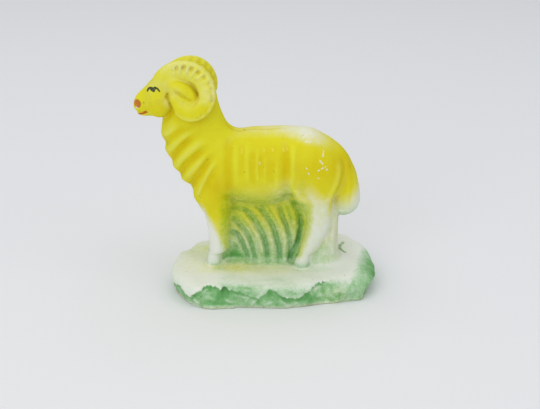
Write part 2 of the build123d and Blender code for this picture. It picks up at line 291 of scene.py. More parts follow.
for pts, height, width in [
    ([(11.4, 34.6), (11.8, 33.1), (13.3, 29.0), (14.1, 24.8), (13.8, 20.7), (13.0, 16.4)], 0.45, 0.95),
    ([(16.2, 34.4), (17.9, 31.0), (18.6, 27.0), (18.4, 23.0), (17.6, 19.0), (16.2, 15.0), (14.6, 11.4)], 0.8, 1.3),
    ([(9.2, 34.0), (9.5, 32.7), (10.8, 29.8), (11.8, 26.5), (12.6, 22.7)], 0.3, 0.5),
    ([(10.6, 33.6), (11.4, 31.4), (12.4, 28.0), (13.0, 24.2)], -0.4, 0.45),
    ([(4.6, 34.6), (4.9, 33.5), (6.4, 29.8), (8.0, 26.9), (9.1, 23.6), (9.9, 20.3), (10.3, 16.0), (10.0, 9.6)], 0.75, 0.95),
    ([(-4.6, 33.8), (-3.9, 33.2), (-0.9, 30.7), (1.4, 28.2), (3.0, 25.3), (4.1, 22.4), (4.9, 19.4), (5.5, 16.1), (6.1, 9.6)], 0.65, 1.0),
    ([(-9.2, 31.0), (-6.6, 29.9), (-5.1, 28.2), (-3.6, 25.8), (-2.1, 23.2), (-0.5, 20.7), (0.6, 17.8), (1.4, 14.4), (1.4, 10.0)], 0.75, 0.95),
    ([(-6.4, 26.8), (-5.2, 25.6), (-3.7, 23.6), (-1.9, 21.0), (-0.6, 18.0)], -0.35, 0.4),
    ([(-11.6, 26.4), (-8.6, 24.1), (-7.1, 22.4), (-5.6, 19.9), (-4.4, 17.4), (-3.3, 12.8)], 0.65, 0.8),
    ([(-10.8, 20.0), (-8.7, 17.8), (-7.2, 15.3), (-6.2, 12.8)], 0.5, 0.8),
    ([(-11.4, 33.4), (-7.0, 33.2), (-4.3, 31.9), (-2.0, 29.9)], 0.4, 0.7),
    ([(-11.0, 34.8), (-7.0, 34.6), (-3.6, 33.9), (-1.0, 32.2), (0.8, 30.0)], -0.4, 0.5),
    ([(3.0, 33.8), (4.2, 30.6), (5.8, 27.6), (7.2, 24.4), (8.0, 20.6)], -0.36, 0.42),
    ([(-0.6, 32.6), (0.8, 30.4), (2.4, 27.4), (3.4, 24.4), (4.2, 20.6)], -0.34, 0.42),
    ([(-10.6, 28.0), (-8.4, 26.6), (-6.6, 24.8)], 0.3, 0.5),
    ([(-12.2, 32.0), (-9.8, 31.9), (-7.6, 31.2), (-6.0, 29.9)], -0.5, 0.45),
    ([(-12.4, 25.9), (-10.4, 25.4), (-8.6, 24.2), (-7.2, 22.6)], -0.55, 0.45),
    ([(-12.2, 19.4), (-10.4, 18.6), (-9.0, 17.0), (-8.0, 15.0)], -0.6, 0.6),
    ([(-5.6, 11.6), (-8.0, 11.8), (-11.0, 11.2), (-14.0, 10.6)], -0.9, 1.2),
    ([(-7.6, 16.4), (-9.0, 14.2), (-10.6, 11.8)], -0.6, 1.2),
]:
    stroke(grass_relief, pts, height, width)
border = relief_map()
stroke(border, [(12.4, 38.6), (14.8, 36.6), (17.0, 33.4), (18.1, 29.6), (18.5, 25.4), (18.0, 21.6), (17.0, 17.8), (15.6, 14.2), (14.0, 10.4)], 1.0, 1.5, 0.1)
panel = panel - grass_relief[:, None, :] * step(1.2, 2.6, AA)

CLUMP = [(42.0, 26.0, 4.0, 4.6, 0.0), (34.0, 26.2, 4.4, 5.2, 0.0), (27.0, 26.2, 4.9, 5.6, 0.0), (21.0, 25.4, 5.8, 6.2, 0.0), (16.0, 24.8, 6.5, 6.9, 0.0),
         (12.5, 24.7, 7.0, 7.6, 0.0), (10.0, 25.0, 7.5, 8.2, 0.0), (6.5, 25.2, 8.2, 8.8, 0.0)]
clump = loft_z(CLUMP)
clump_relief = relief_map()
for pts, height, width in [
    ([(30.4, 27.0), (30.2, 21.0), (30.6, 15.0), (31.4, 11.0)], -0.35, 0.8),
    ([(28.2, 29.0), (27.6, 22.0), (27.4, 15.0), (27.8, 11.0)], -0.4, 0.8),
    ([(25.8, 25.0), (24.8, 19.0), (23.8, 14.0), (23.2, 11.0)], -0.45, 0.8),
    ([(29.3, 28.0), (28.9, 20.0), (29.2, 13.0)], 0.25, 0.8),
    ([(26.6, 25.0), (25.9, 18.0), (25.4, 12.0)], 0.25, 0.8),
]:
    stroke(clump_relief, pts, height, width)
clump = clump - clump_relief[:, None, :]
territory["grass_panel"] = panel + 0.4
territory["grass_clump"] = clump + 0.3

# ------------------------------------------------------------------ head
HEAD = [(-46.2, 72.0, 0.9, 0.8), (-45.7, 72.2, 2.2, 1.9), (-44.6, 72.4, 3.7, 2.8), (-42.7, 72.9, 5.0, 3.5), (-40.0, 73.8, 6.1, 4.3), (-37.0, 74.7, 7.0, 5.3),
        (-34.0, 75.2, 7.4, 6.0), (-31.5, 75.6, 7.3, 5.9), (-30.2, 75.8, 6.0, 5.0), (-29.6, 75.9, 3.0, 2.6)]
muzzle = loft_x(HEAD)
cheek = ellipsoid(-35.8, 2.9, 72.9, 5.1, 3.9, 5.1, -12)
skull = smin(ellipsoid(-26.5, 0, 78.2, 9.0, 6.6, 7.0, 0), ellipsoid(-25.6, 0, 77.2, 7.6, 8.6, 6.8), 1.5)
head_relief = relief_map()
for pts, height, width in [
    ([(-40.8, 78.9), (-39.2, 80.6), (-37.2, 81.3), (-34.8, 80.0)], 0.45, 0.9),
    ([(-39.6, 78.2), (-38.0, 78.4), (-36.2, 78.2)], -0.5, 1.0),
    ([(-39.4, 76.0), (-37.2, 75.6), (-34.8, 76.6)], 0.5, 1.1),
    ([(-46.6, 69.9), (-44.0, 69.8), (-42.8, 69.6), (-41.3, 70.1), (-40.2, 70.7)], -0.5, 0.5),
    ([(-45.4, 74.0), (-44.3, 73.3), (-43.4, 72.6)], -0.3, 0.6),
    ([(-43.0, 72.2), (-41.4, 71.4), (-40.0, 72.4), (-39.2, 74.2)], -0.3, 0.9),
    ([(-45.2, 68.6), (-43.2, 68.2), (-41.4, 68.6)], 0.25, 0.7),
]:
    stroke(head_relief, pts, height, width)
head = smin(smin(muzzle, cheek, 1.6), skull, 1.4) - head_relief[:, None, :]
jaw = relief_map()
stroke(jaw, [(-32.8, 79.5), (-32.6, 76.6), (-31.2, 72.9), (-32.2, 70.2), (-34.6, 67.6), (-37.0, 66.4)], -0.9, 1.05)
territory["head"] = head

# ------------------------------------------------------------------ horns
# centre line on each side: x, z, distance from the middle, half width in the curl, half thickness
HORN = [(-36.2, 78.8, 3.0, 3.4, 2.6), (-34.5, 81.9, 3.4, 3.9, 3.0), (-31.3, 84.4, 3.8, 4.1, 3.2), (-27.4, 85.3, 4.2, 4.2, 3.3), (-23.8, 84.8, 4.8, 4.1, 3.4),
        (-20.9, 83.0, 5.8, 3.8, 3.4), (-19.1, 80.2, 7.2, 3.55, 3.2), (-18.6, 77.0, 8.4, 3.25, 3.0), (-19.6, 74.0, 9.2, 3.0, 2.7), (-22.0, 71.8, 9.8, 2.85, 2.4),
        (-25.1, 71.2, 10.1, 2.65, 2.1), (-27.8, 72.2, 10.1, 2.3, 1.9), (-29.6, 74.0, 9.8, 1.75, 1.6), (-30.6, 75.8, 9.2, 1.2, 1.2)]
hp = catmull(HORN, 8)
hs = np.concatenate([[0], np.cumsum(np.hypot(np.diff(hp[:, 0]), np.diff(hp[:, 1])))])
horn_d, horn_t = line_dist(X2, Z2, hp[:, :2])
horn_s = horn_t * hs[-1]
tang = np.gradient(hp[:, :2], axis=0)
tang /= np.hypot(tang[:, 0], tang[:, 1])[:, None]


def along_horn(column):
    return np.interp(horn_s, hs, column).astype(F32)


horn_v = ((X2 - along_horn(hp[:, 0])) * -along_horn(tang[:, 1]) + (Z2 - along_horn(hp[:, 1])) * along_horn(tang[:, 0]))
horn_v = np.where(horn_v > 0, horn_d, -horn_d)            # + is outside the curl
horn_r, horn_k = along_horn(hp[:, 3]), along_horn(hp[:, 4])
horn = ((np.abs(horn_v / horn_r)[:, None, :] ** 2.7 + (np.abs(AA - along_horn(hp[:, 2])[:, None, :]) / horn_k[:, None, :]) ** 2.7) ** (1 / 2.7) - 1)
horn = (horn * np.minimum(horn_r, horn_k)[:, None, :]).astype(F32)
# a plain raised rim along the outside of the curl, and inside it thin ridges with pits between them
q = horn_v / horn_r


def horn_place(x, z):
    """How far along the horn its centre line passes nearest to x, z."""
    return hs[np.argmin((hp[:, 0] - x) ** 2 + (hp[:, 1] - z) ** 2)]


RIDGES = [(-32.0, 86.4, 0.35), (-30.4, 87.2, 0.9), (-28.2, 87.9, 1.1), (-25.3, 87.2, 1.0), (-23.1, 86.0, 1.0), (-20.6, 84.9, 0.95), (-18.8, 83.0, 0.5), (-17.5, 80.4, 0.4),
          (-17.0, 77.0, 0.35), (-17.6, 74.4, 0.3), (-19.2, 72.2, 0.3), (-21.6, 70.6, 0.25)]
ridge_s = [(horn_place(x, z), k) for x, z, k in RIDGES]
fade = step(-0.65, 0.28, q) * step(0.80, 0.62, q)
horn_relief = 0.34 * np.exp(-((q - 0.88) / 0.17) ** 2) * step(5, 11, horn_s) * step(hs[-1] - 1.5, hs[-1] - 7, horn_s)
for s0, k in ridge_s:
    horn_relief = horn_relief + 0.74 * k * np.exp(-((horn_s - s0 + 0.9 * (0.5 - q)) / 0.48) ** 2) * fade
for (s0, k0), (s1, k1) in zip(ridge_s[:-1], ridge_s[1:]):
    horn_relief = horn_relief - 0.85 * min(k0, k1) * np.exp(-((horn_s - (s0 + s1) / 2) / 0.8) ** 2 - ((q - 0.52) / 0.24) ** 2)
horn = horn - horn_relief[:, None, :].astype(F32) * step(-0.6, 1.0, AA - along_horn(hp[:, 2])[:, None, :])
# towards the middle the outer edge is scalloped
scallop = 0.22 * np.cos(2 * np.pi * horn_s / 2.15) * step(0.45, 0.8, q) * step(9, 13, horn_s) * step(32, 27, horn_s)
horn = horn - scallop[:, None, :].astype(F32) * step(0.6, -0.8, AA - along_horn(hp[:, 2])[:, None, :])
territory["horn"] = horn + 8.0 * step(-33.2, -36.0, XX - 0.35 * (ZZ - 82.0))

# ------------------------------------------------------------------ ears
ear = ellipsoid(-27.3, 7.3, 78.3, 6.0, 3.3, 3.7, -30)
ear_relief = relief_map()
for pts, height, width in [
    ([(-31.0, 79.8), (-28.4, 78.5), (-25.6, 76.7), (-23.4, 75.1)], -0.95, 0.5),
    ([(-31.2, 81.0), (-28.2, 80.2), (-25.2, 78.4)], 0.35, 0.9),
    ([(-31.2, 78.2), (-28.6, 76.8), (-26.4, 75.4)], 0.3, 0.8),
    ([(-31.6, 77.6), (-29.6, 76.2)], -0.25, 0.5),
]:
    stroke(ear_relief, pts, height, width)
ear = smin(ear, ellipsoid(-26.4, 7.4, 75.4, 6.0, 2.6, 4.0, -20), 1.5) - ear_relief[:, None, :]
territory["ear"] = ear + 9.0 * step(82.0, 84.0, ZZ) + 9.0 * step(-33.0, -35.0, XX)

ram = smin(body, panel, 1.2 + 2.4 * step(-9.0, -12.5, XX) + 2.8 * step(31.0, 34.0, ZZ))
ram = smin(ram, clump, 1.8 + 1.7 * step(27.0, 20.0, ZZ))
head_all = smin(head, horn, 0.8 + 2.6 * step(-27, -35, XX))
head_all = smin(head_all, ear, 0.6 + 2.2 * step(-27.5, -31.5, XX) + 2.0 * step(78.5, 75.0, ZZ) * step(-22.0, -25.0, XX))
pocket = relief_map()
stroke(pocket, [(-26.2, 82.2), (-24.4, 81.6), (-22.9, 80.2), (-21.9, 78.4), (-21.6, 76.6), (-22.2, 75.4)], -0.55, 0.8, 0.35)
head_all = head_all - pocket[:, None, :] * step(3.0, 6.0, AA)
ram = smin(ram, head_all, 0.9 + 2.2 * step(-24.0, -18.0, XX) * step(8.5, 6.0, AA)) - jaw[:, None, :] * step(2.0, 4.0, AA)

# ------------------------------------------------------------------ plinth
RIM = [(-24.0, -25.8), (-8.5, -26.0), (8.0, -26.0), (20.5, -24.8), (36.0, -21.4), (43.2, -17.0), (46.5, -8.5), (47.0, 0.0), (45.4, 9.5), (40.6, 18.8), (32.5, 24.8),
       (8.0, 26.0), (-13.5, 25.2), (-25.0, 21.3), (-31.4, 9.5), (-34.0, -6.5), (-31.2, -16.5)]
FOOT = [(-22.2, -25.6), (-10.0, -26.1), (2.0, -26.2), (12.0, -25.9), (27.0, -22.6), (36.0, -20.4), (39.6, -18.2), (41.6, -8.5), (41.4, 4.0), (37.0, 18.0), (29.0, 23.6),
        (8.0, 25.4), (-12.0, 24.6), (-23.0, 20.5), (-29.6, 9.0), (-33.0, -6.0), (-29.6, -17.0)]


def inside_dist(pts, n):
    p = catmull(pts, n, True)
    d, t = line_dist(X[:, None], Y[None, :], p, True)
    x, y = X[:, None], Y[None, :]
    odd = np.zeros(d.shape, bool)
    for (ax, ay), (bx, by) in zip(p, np.roll(p, -1, axis=0)):
        if ay != by:
            odd ^= ((ay > y) != (by > y)) & (x < (bx - ax) * (y - ay) / (by - ay) + ax)
    return np.where(odd, d, -d), t


rim_d, rim_t = inside_dist(RIM, 14)
foot_d, _ = inside_dist(FOOT, 12)
rim_pts = catmull(RIM, 14, True)
rim_len = float(np.hypot(*(np.roll(rim_pts, -1, axis=0) - rim_pts).T).sum())


def rim_share(x, y):
    """Share of the way round the rim at the point nearest to x, y."""
    _, t = line_dist(np.array([[x]]), np.array([[y]]), rim_pts, True)
    return float(t[0, 0])


# broken edge of the top slab round the plinth: height of its lower border, how far it is broken back from the rim
EDGE_FRONT = [(-31.8, 5.2, 0.0), (-30.0, 6.2, 0.0), (-27.8, 5.2, 0.0), (-25.7, 4.0, 0.0), (-23.7, 6.2, 0.0), (-21.9, 7.0, 1.2), (-19.2, 8.2, 3.7), (-17.8, 7.9, 2.7), (-16.0, 7.9, 2.7),
              (-14.4, 7.1, 1.2), (-12.6, 7.9, 2.6), (-10.7, 7.0, 0.8), (-6.4, 6.4, 0.0), (-3.6, 5.2, 0.0), (-0.3, 4.2, 0.0), (2.1, 5.6, 0.0), (4.2, 7.3, 1.6), (6.4, 6.4, 0.3), (9.4, 4.2, 0.0),
              (12.8, 3.9, 0.0), (15.0, 3.7, 0.0), (16.9, 5.2, 0.0), (19.5, 6.5, 0.4), (21.9, 7.8, 2.6), (25.0, 8.1, 3.4), (27.0, 8.0, 2.6), (29.0, 6.8, 1.2), (31.0, 5.6, 0.4), (34.0, 5.2, 0.2), (38.0, 5.4, 0.0), (41.5, 6.0, 0.0)]
EDGE_BACK = [(44.6, -12.0, 6.4, 0.0), (46.2, -6.0, 6.8, 0.0), (46.5, 0.0, 6.6, 0.0), (45.6, 6.0, 6.2, 0.0), (44.0, 11.0, 5.8, 0.0), (42.0, 17.0, 7.6, 2.0), (39.0, 22.0, 6.0, 0.2), (35.0, 23.5, 4.4, 0.0),
             (31.0, 25.2, 6.2, 0.3), (27.0, 25.2, 8.0, 2.8), (23.0, 25.6, 6.6, 0.6), (17.0, 25.8, 4.2, 0.0), (13.0, 26.0, 3.8, 0.0), (10.0, 26.0, 5.8, 0.0), (6.0, 26.0, 7.9, 2.4), (2.6, 25.8, 7.4, 1.4),
             (0.0, 25.8, 5.6, 0.0), (-4.0, 25.6, 3.9, 0.0), (-8.0, 25.4, 4.3, 0.0), (-11.0, 25.3, 7.0, 0.8), (-14.0, 25.0, 8.0, 3.0), (-17.0, 24.2, 7.2, 1.4), (-20.0, 23.2, 5.6, 0.0),
             (-23.0, 22.2, 4.0, 0.0), (-26.5, 19.0, 5.4, 0.0), (-29.0, 14.0, 7.6, 1.8), (-31.4, 9.5, 6.2, 0.3), (-32.8, 3.0, 3.8, 0.0), (-33.4, -3.0, 4.4, 0.0), (-33.4, -9.0, 4.4, 0.0)]
edge = [(rim_share(x, np.interp(x, [-33.6, -30.8, -24, 21, 42], [-9, -17.5, -25.8, -25.2, -17.0])), z, c) for x, z, c in EDGE_FRONT] + [(rim_share(x, y), z, c) for x, y, z, c in EDGE_BACK]
edge = sorted(edge)
edge = np.array([(edge[-1][0] - 1,) + edge[-1][1:]] + edge + [(edge[0][0] + 1,) + edge[0][1:]])
jag = (0.18 * np.sin(rim_t * rim_len * 2.3) + 0.14 * np.sin(rim_t * rim_len * 4.1 + 1.0)) * step(40, 34, X[:, None])
edge_z = (np.interp(rim_t, edge[:, 0], edge[:, 1]) + jag).astype(F32)
cut = (np.interp(rim_t, edge[:, 0], edge[:, 2]) * (1 + 0.35 * jag)).astype(F32)

kz = int(np.searchsorted(Z, 14.5))
zb = Z[None, None, :kz]
x3, y3 = X[:, None, None], Y[None, :, None]
mound = (8.8 + 1.7 * np.exp(-((X[:, None] + 13) / 13) ** 2 - (Y[None, :] / 13) ** 2) + 0.5 * np.exp(-((X[:, None] - 20) / 14) ** 2 - (Y[None, :] / 11) ** 2)
         + 0.35 * np.sin(X[:, None] * 0.21 + 0.8) * np.cos(Y[None, :] * 0.17 + 0.4) + 0.18 * np.sin(X[:, None] * 0.43 + Y[None, :] * 0.31)
         + 0.7 * step(8, 2, np.abs(rim_d - 5.0)) * step(28, 40, X[:, None]) + 2.0 * np.exp(-((X[:, None] - 33) / 9) ** 2 - ((Y[None, :] - 19) / 11) ** 2)).astype(F32)
# facets of broken rock under the slab: each facet is a plane of its own, softly joined to the next
rng = np.random.RandomState(11)
n_cell = 40
cells = np.stack([(np.arange(n_cell) + rng.uniform(-0.35, 0.35, n_cell)) / n_cell * rim_len, rng.uniform(0.5, 8.0, n_cell)], 1)
tilt = rng.uniform(-0.22, 0.22, (n_cell, 2))
lift = rng.uniform(-0.55, 0.35, n_cell)
shade = rng.uniform(-0.5, 0.5, n_cell)
facet, tone = np.zeros((len(X), len(Y), kz), F32), np.zeros((len(X), len(Y), kz), F32)
bi, bj = np.nonzero(np.abs(rim_d) < 10)
r_b, dz = (rim_t * rim_len)[bi, bj][:, None], Z[None, :kz]


def cell_dist(c, cz, l):
    du = (r_b - c + rim_len / 2) % rim_len - rim_len / 2
    return np.sqrt(du * du + (1.3 * (dz - cz)) ** 2) + 0.25 * l, du


near = None
for (c, cz), l in zip(cells, lift):
    dd, _ = cell_dist(c, cz, l)
    near = dd if near is None else np.minimum(near, dd)
total, facet_b, tone_b = 1e-6, 0, 0
for (c, cz), (tu, tz), l, sh in zip(cells, tilt, lift, shade):
    dd, du = cell_dist(c, cz, l)
    w = np.exp(-(dd - near) / 0.4)
    total, facet_b, tone_b = total + w, facet_b + w * (l + tu * du + tz * 1.3 * (dz - cz)), tone_b + w * sh
facet[bi, bj], tone[bi, bj] = facet_b / total, tone_b / total
del near, total, facet_b, tone_b

right_end = step(25, 33, X[:, None]) * step(14, 4, Y[None, :])
far_right = (step(36, 43, X[:, None]) * np.ones_like(rim_d))[:, :, None]
up = step(0.0, 5.0, zb) * (1 - far_right) + np.clip(zb / 7.5, 0, 1) * far_right
side = foot_d[:, :, None] * (1 - up) + rim_d[:, :, None] * up
lean = 0.3 + (1.15 - 0.9 * far_right + cut[:, :, None]) * (np.clip(zb, 0, 9.0) / 8.5) ** 1.15          # the rock leans in as it rises
# worn ridges between the facets of the front
ROCK_LINES = [[(-21.2, 5.4), (-20.0, 6.6), (-18.2, 7.2)], [(-19.8, 4.8), (-17.8, 3.9), (-15.4, 3.2)], [(-13.4, 3.3), (-11.1, 2.6), (-8.5, 2.1)], [(-0.2, 4.2), (-1.8, 2.5), (-3.5, 0.5)],
              [(1.0, 1.8), (3.1, 1.9), (5.4, 2.2)], [(19.6, 5.8), (22.2, 6.4), (24.9, 7.3), (26.6, 8.6)], [(21.2, 3.3), (24.6, 4.0)], [(27.0, 4.1), (29.9, 5.5), (33.4, 6.4)],
              [(-10.0, 5.6), (-6.0, 4.6), (-2.6, 4.2)], [(7.2, 5.4), (8.8, 3.0), (11.0, 1.2)], [(-24.6, 3.4), (-22.2, 1.6)], [(14.6, 2.6), (12.6, 0.8)]]
# dark grooves between the facets: carved here, and painted darker green below as shade
ROCK_DARK = [[(-17.0, 1.5), (-13.0, 1.8), (-9.4, 1.2)], [(-1.6, 2.0), (0.6, 2.8)], [(15.6, 2.2), (17.7, 3.6), (19.6, 5.0)], [(28.1, 2.5), (30.7, 3.3), (33.5, 2.9)], [(-20.6, 7.4), (-16.0, 7.2), (-12.0, 6.4)], [(4.2, 6.4), (5.4, 4.6)]]
rock_lines, rock_dark, lip = relief_map(), relief_map(), relief_map()
for pts in ROCK_LINES:
    stroke(rock_lines, pts, 1.0, 0.55, 0.3)
for pts in ROCK_DARK:
    stroke(rock_dark, pts, 1.0, 1.1, 0.3)
stroke(lip, [(9.6, 5.4), (12.4, 5.7), (15.2, 5.3)], 0.5, 0.8, 0.3)                   # shallow hollow in the face of the slab
front_face = step(-14, -19, Y[None, :, None])
rock = -(side - lean) - facet * 0.8 - (0.4 * rock_lines - 0.3 * rock_dark)[:, None, :kz] * front_face
rock = smax(rock, zb - mound[:, :, None] + 0.5, 0.6)
drop = 2.4 + 3.0 * right_end - 1.2 * step(-26, -32, X[:, None])
slab_top = mound - drop * (1 - np.clip(rim_d / (6.0 + 3.0 * right_end), 0, 1)) ** 2
# a shallow hollow in the slab's shoulder, left of the middle, and a crack at the foot of the clump
hollow = 0.55 * np.exp(-((rim_d - 2.0 - 0.25 * np.sin(X[:, None] * 0.9)) / 0.85) ** 2) * step(-11.6, -8.6, X[:, None]) * step(-0.6, -4.0, X[:, None]) * step(0, -5, Y[None, :])
CRACK = [(33.1, 11.6), (32.7, 10.0), (32.8, 8.2), (33.4, 6.2), (34.4, 4.4)]
crack_d, _ = line_dist(X[:, None], Y[None, :], catmull(CRACK, 5))
crack = np.maximum(np.exp(-(crack_d / 0.55) ** 2), 0.8 * np.exp(-((X[:, None] - 34.2) / 0.6) ** 2 - ((Y[None, :] - 12.8) / 0.8) ** 2))
slab_top = slab_top - hollow
slab_side = -(rim_d[:, :, None] - 0.1 - cut[:, :, None] - 0.3 * right_end[:, :, None])
slab = smax(zb - slab_top[:, :, None], slab_side, 1.3 + 1.5 * right_end[:, :, None]) + lip[:, None, :kz] * front_face
slab = smax(slab, (edge_z[:, :, None] - zb) * 0.7 + 0.12 * facet, 0.5)
rock = np.maximum(rock, zb - slab_top[:, :, None] - 0.3)
base = smin(rock, slab, 0.55 + 1.8 * right_end[:, :, None])
vent = np.maximum(np.hypot(X[:, None], Y[None, :])[:, :, None] - 3.5, zb - 4.5)               # vent hole in the underside
base = smax(smax(base, -vent, 0.5), -zb, 0.3).astype(F32)

# ------------------------------------------------------------------ whole sculpture and its pieces
order = ["torso", "neck", "head", "horn", "ear", "foreleg", "hind_leg", "tail", "grass_panel", "grass_clump"]
best = np.full(ram.shape, 1e9, F32)
who = np.zeros(ram.shape, np.int8)
for n, name in enumerate(order):
    f = territory[name]
    if name == "grass_panel":
        f = np.where(ZZ < 40, f, 9)
    hit = f < best
    best = np.where(hit, f, best)
    who = np.where(hit, np.int8(n + 1), who)
FIELD = np.full((len(X), len(Y), len(Z)), BIG, F32)
LABEL = np.zeros(FIELD.shape, np.int8)
mid = NA
FIELD[:, mid:mid + NR + 1] = ram
FIELD[:, mid - NR:mid + 1] = ram[:, ::-1]
LABEL[:, mid:mid + NR + 1] = who
LABEL[:, mid - NR:mid + 1] = who[:, ::-1]
paired = np.array([0, 0, 0, 0, 1, 1, 1, 1, 0, 0, 0], bool)
right_half = LABEL[:, mid + 1:]
right_half[paired[right_half]] += 20                       # the right-hand one of a pair
# crease left by the mould along the back
zt = int(np.searchsorted(Z, 50))
crease = (-0.4 * np.exp(-((Y[None, :] + 1.6 + 0.25 * np.sin(X[:, None] * 0.5)) / 0.5) ** 2) * step(-14, -9, X[:, None]) * step(15, 4, X[:, None])).astype(F32)
keep = FIELD[:, :, zt:]
FIELD[:, :, zt:] = keep - crease[:, :, None] * step(66, 64.5, Z[None, None, zt:])
low = FIELD[:, :, :kz]
lab = LABEL[:, :, :kz]
lab[base < low] = 11
loose = step(-15.0, -12.0, X) * step(14.5, 12.0, X) + step(20.5, 24.0, X)            # the grass runs into the plinth, the hooves stand on it
FIELD[:, :, :kz] = smin(low, base, (1.1 + 2.6 * loose)[:, None, None])
FIELD[:, :, :kz] += 0.4 * (crack[:, :, None] * step(7.0, 8.5, Z[None, None, :kz])).astype(F32)
LABEL[FIELD >= 0] = 0
del low, lab, keep
# no crumbs, and no piece that touches itself along an edge only
near_by = [(slice(1, -1),) * a + (s,) + (slice(1, -1),) * (2 - a) for a in range(3) for s in (slice(None, -2), slice(2, None))]
core = LABEL[1:-1, 1:-1, 1:-1]
same, most = np.zeros(core.shape, np.int8), np.zeros(core.shape, np.int8)
for c in near_by:
    same += LABEL[c] == core
    most = np.maximum(most, LABEL[c])
lone = (core > 0) & (same == 0)
FIELD[1:-1, 1:-1, 1:-1][lone & (most == 0)] = 0.02
core[lone] = most[lone]
for _ in range(12):
    found = 0
    for u, w in ((0, 1), (0, 2), (1, 2)):
        cut_a, cut_b, cut_c, cut_d = [[slice(None)] * 3 for _ in range(4)]
        for cut_, su, sw in ((cut_a, 0, 0), (cut_b, 1, 0), (cut_c, 0, 1), (cut_d, 1, 1)):
            cut_[u], cut_[w] = slice(1, None) if su else slice(None, -1), slice(1, None) if sw else slice(None, -1)
        views = [LABEL[tuple(c)] for c in (cut_a, cut_b, cut_c, cut_d)]
        fields = [FIELD[tuple(c)] for c in (cut_a, cut_b, cut_c, cut_d)]
        for p, r, s, t in ((0, 3, 1, 2), (1, 2, 0, 3)):
            at = np.nonzero((views[p] > 0) & (views[p] == views[r]) & (views[s] != views[p]) & (views[t] != views[p]))
            if len(at[0]):
                found += len(at[0])
                mine, first = views[p][at], views[s][at] > 0
                for pick, v in ((first, s), (~first, t)):
                    spot = tuple(a[pick] for a in at)
                    empty = views[v][spot] == 0
                    views[v][spot] = mine[pick]
                    open_ = tuple(a[empty] for a in spot)
                    fields[v][open_] = -0.02
    if not found:
        break
del core, same, most, lone


def sample(field, p):
    """Field at points, between grid nodes."""
    g = (p - np.array([X[0], Y[0], Z[0]])) / H
    g = np.clip(g, 0, np.array(field.shape) - 1.001)
    i = g.astype(np.int32)
    u = (g - i).astype(F32)
    out = 0
    for dx in (0, 1):
        wx = u[:, 0] if dx else 1 - u[:, 0]
        for dy in (0, 1):
            wy = u[:, 1] if dy else 1 - u[:, 1]
            for dz in (0, 1):
                wz = u[:, 2] if dz else 1 - u[:, 2]
                out = out + wx * wy * wz * field[i[:, 0] + dx, i[:, 1] + dy, i[:, 2] + dz]
    return out


def gradient(p, e):
    g = np.empty((len(p), 3), F32)
    for c in range(3):
        s = np.zeros(3)
        s[c] = e
        g[:, c] = sample(FIELD, p + s) - sample(FIELD, p - s)
    return g / (2 * e)


# one vertex in every grid cell that holds more than one label
corners = [(slice(i, i - 1 if i else -1) if not i else slice(1, None), slice(1, None) if j else slice(None, -1), slice(1, None) if k else slice(None, -1))
           for i in (0, 1) for j in (0, 1) for k in (0, 1)]
lo = hi = None
for c in corners:
    v = LABEL[c]
    lo = v if lo is None else np.minimum(lo, v)
    hi = v if hi is None else np.maximum(hi, v)
mixed = lo != hi
index = np.full(mixed.shape, -1, np.int32)
ci, cj, ck = np.nonzero(mixed)
index[ci, cj, ck] = np.arange(len(ci))
outer = lo[ci, cj, ck] == 0
values = np.stack([FIELD[ci + i, cj + j, ck + k] for i in (0, 1) for j in (0, 1) for k in (0, 1)], 1)
marks = np.stack([LABEL[ci + i, cj + j, ck + k] for i in (0, 1) for j in (0, 1) for k in (0, 1)], 1)
offs = np.array([(i, j, k) for i in (0, 1) for j in (0, 1) for k in (0, 1)], float)
acc, cnt = np.zeros((len(ci), 3)), np.zeros(len(ci))
for p in range(8):
    for r in range(p + 1, 8):
        if np.abs(offs[p] - offs[r]).sum() == 1:
            cross = np.where(outer, (values[:, p] < 0) != (values[:, r] < 0), marks[:, p] != marks[:, r])
            f0, f1 = values[:, p], values[:, r]
            t = np.where(outer & cross, f0 / np.where(f0 == f1, 1, f0 - f1), 0.5)
            acc += np.where(cross[:, None], offs[p] + t[:, None] * (offs[r] - offs[p]), 0)
            cnt += cross
VERT = (np.stack([ci, cj, ck], 1) + acc / np.maximum(cnt, 1)[:, None]) * H + np.array([X[0], Y[0], Z[0]])
del values, marks
for _ in range(3):
    pts = VERT[outer]
    f, g = sample(FIELD, pts), gradient(pts, 0.5 * H)
    move = -f[:, None] * g / np.maximum((g * g).sum(1), 0.05)[:, None]
    ln = np.sqrt((move ** 2).sum(1))
    VERT[outer] = pts + move * np.minimum(1, 0.4 * H / np.maximum(ln, 1e-6))[:, None]
VERT[:, 2] = np.where(outer & (VERT[:, 2] < 0.03), 0.0, VERT[:, 2])

far_side = step(0.5, 4.0, VERT[:, 1]) * step(74, 81, VERT[:, 2]) * step(-14, -18, VERT[:, 0])
SHIFT = 0.10 * (-16 - VERT[:, 0]) * far_side              # the right horn lies a little further back

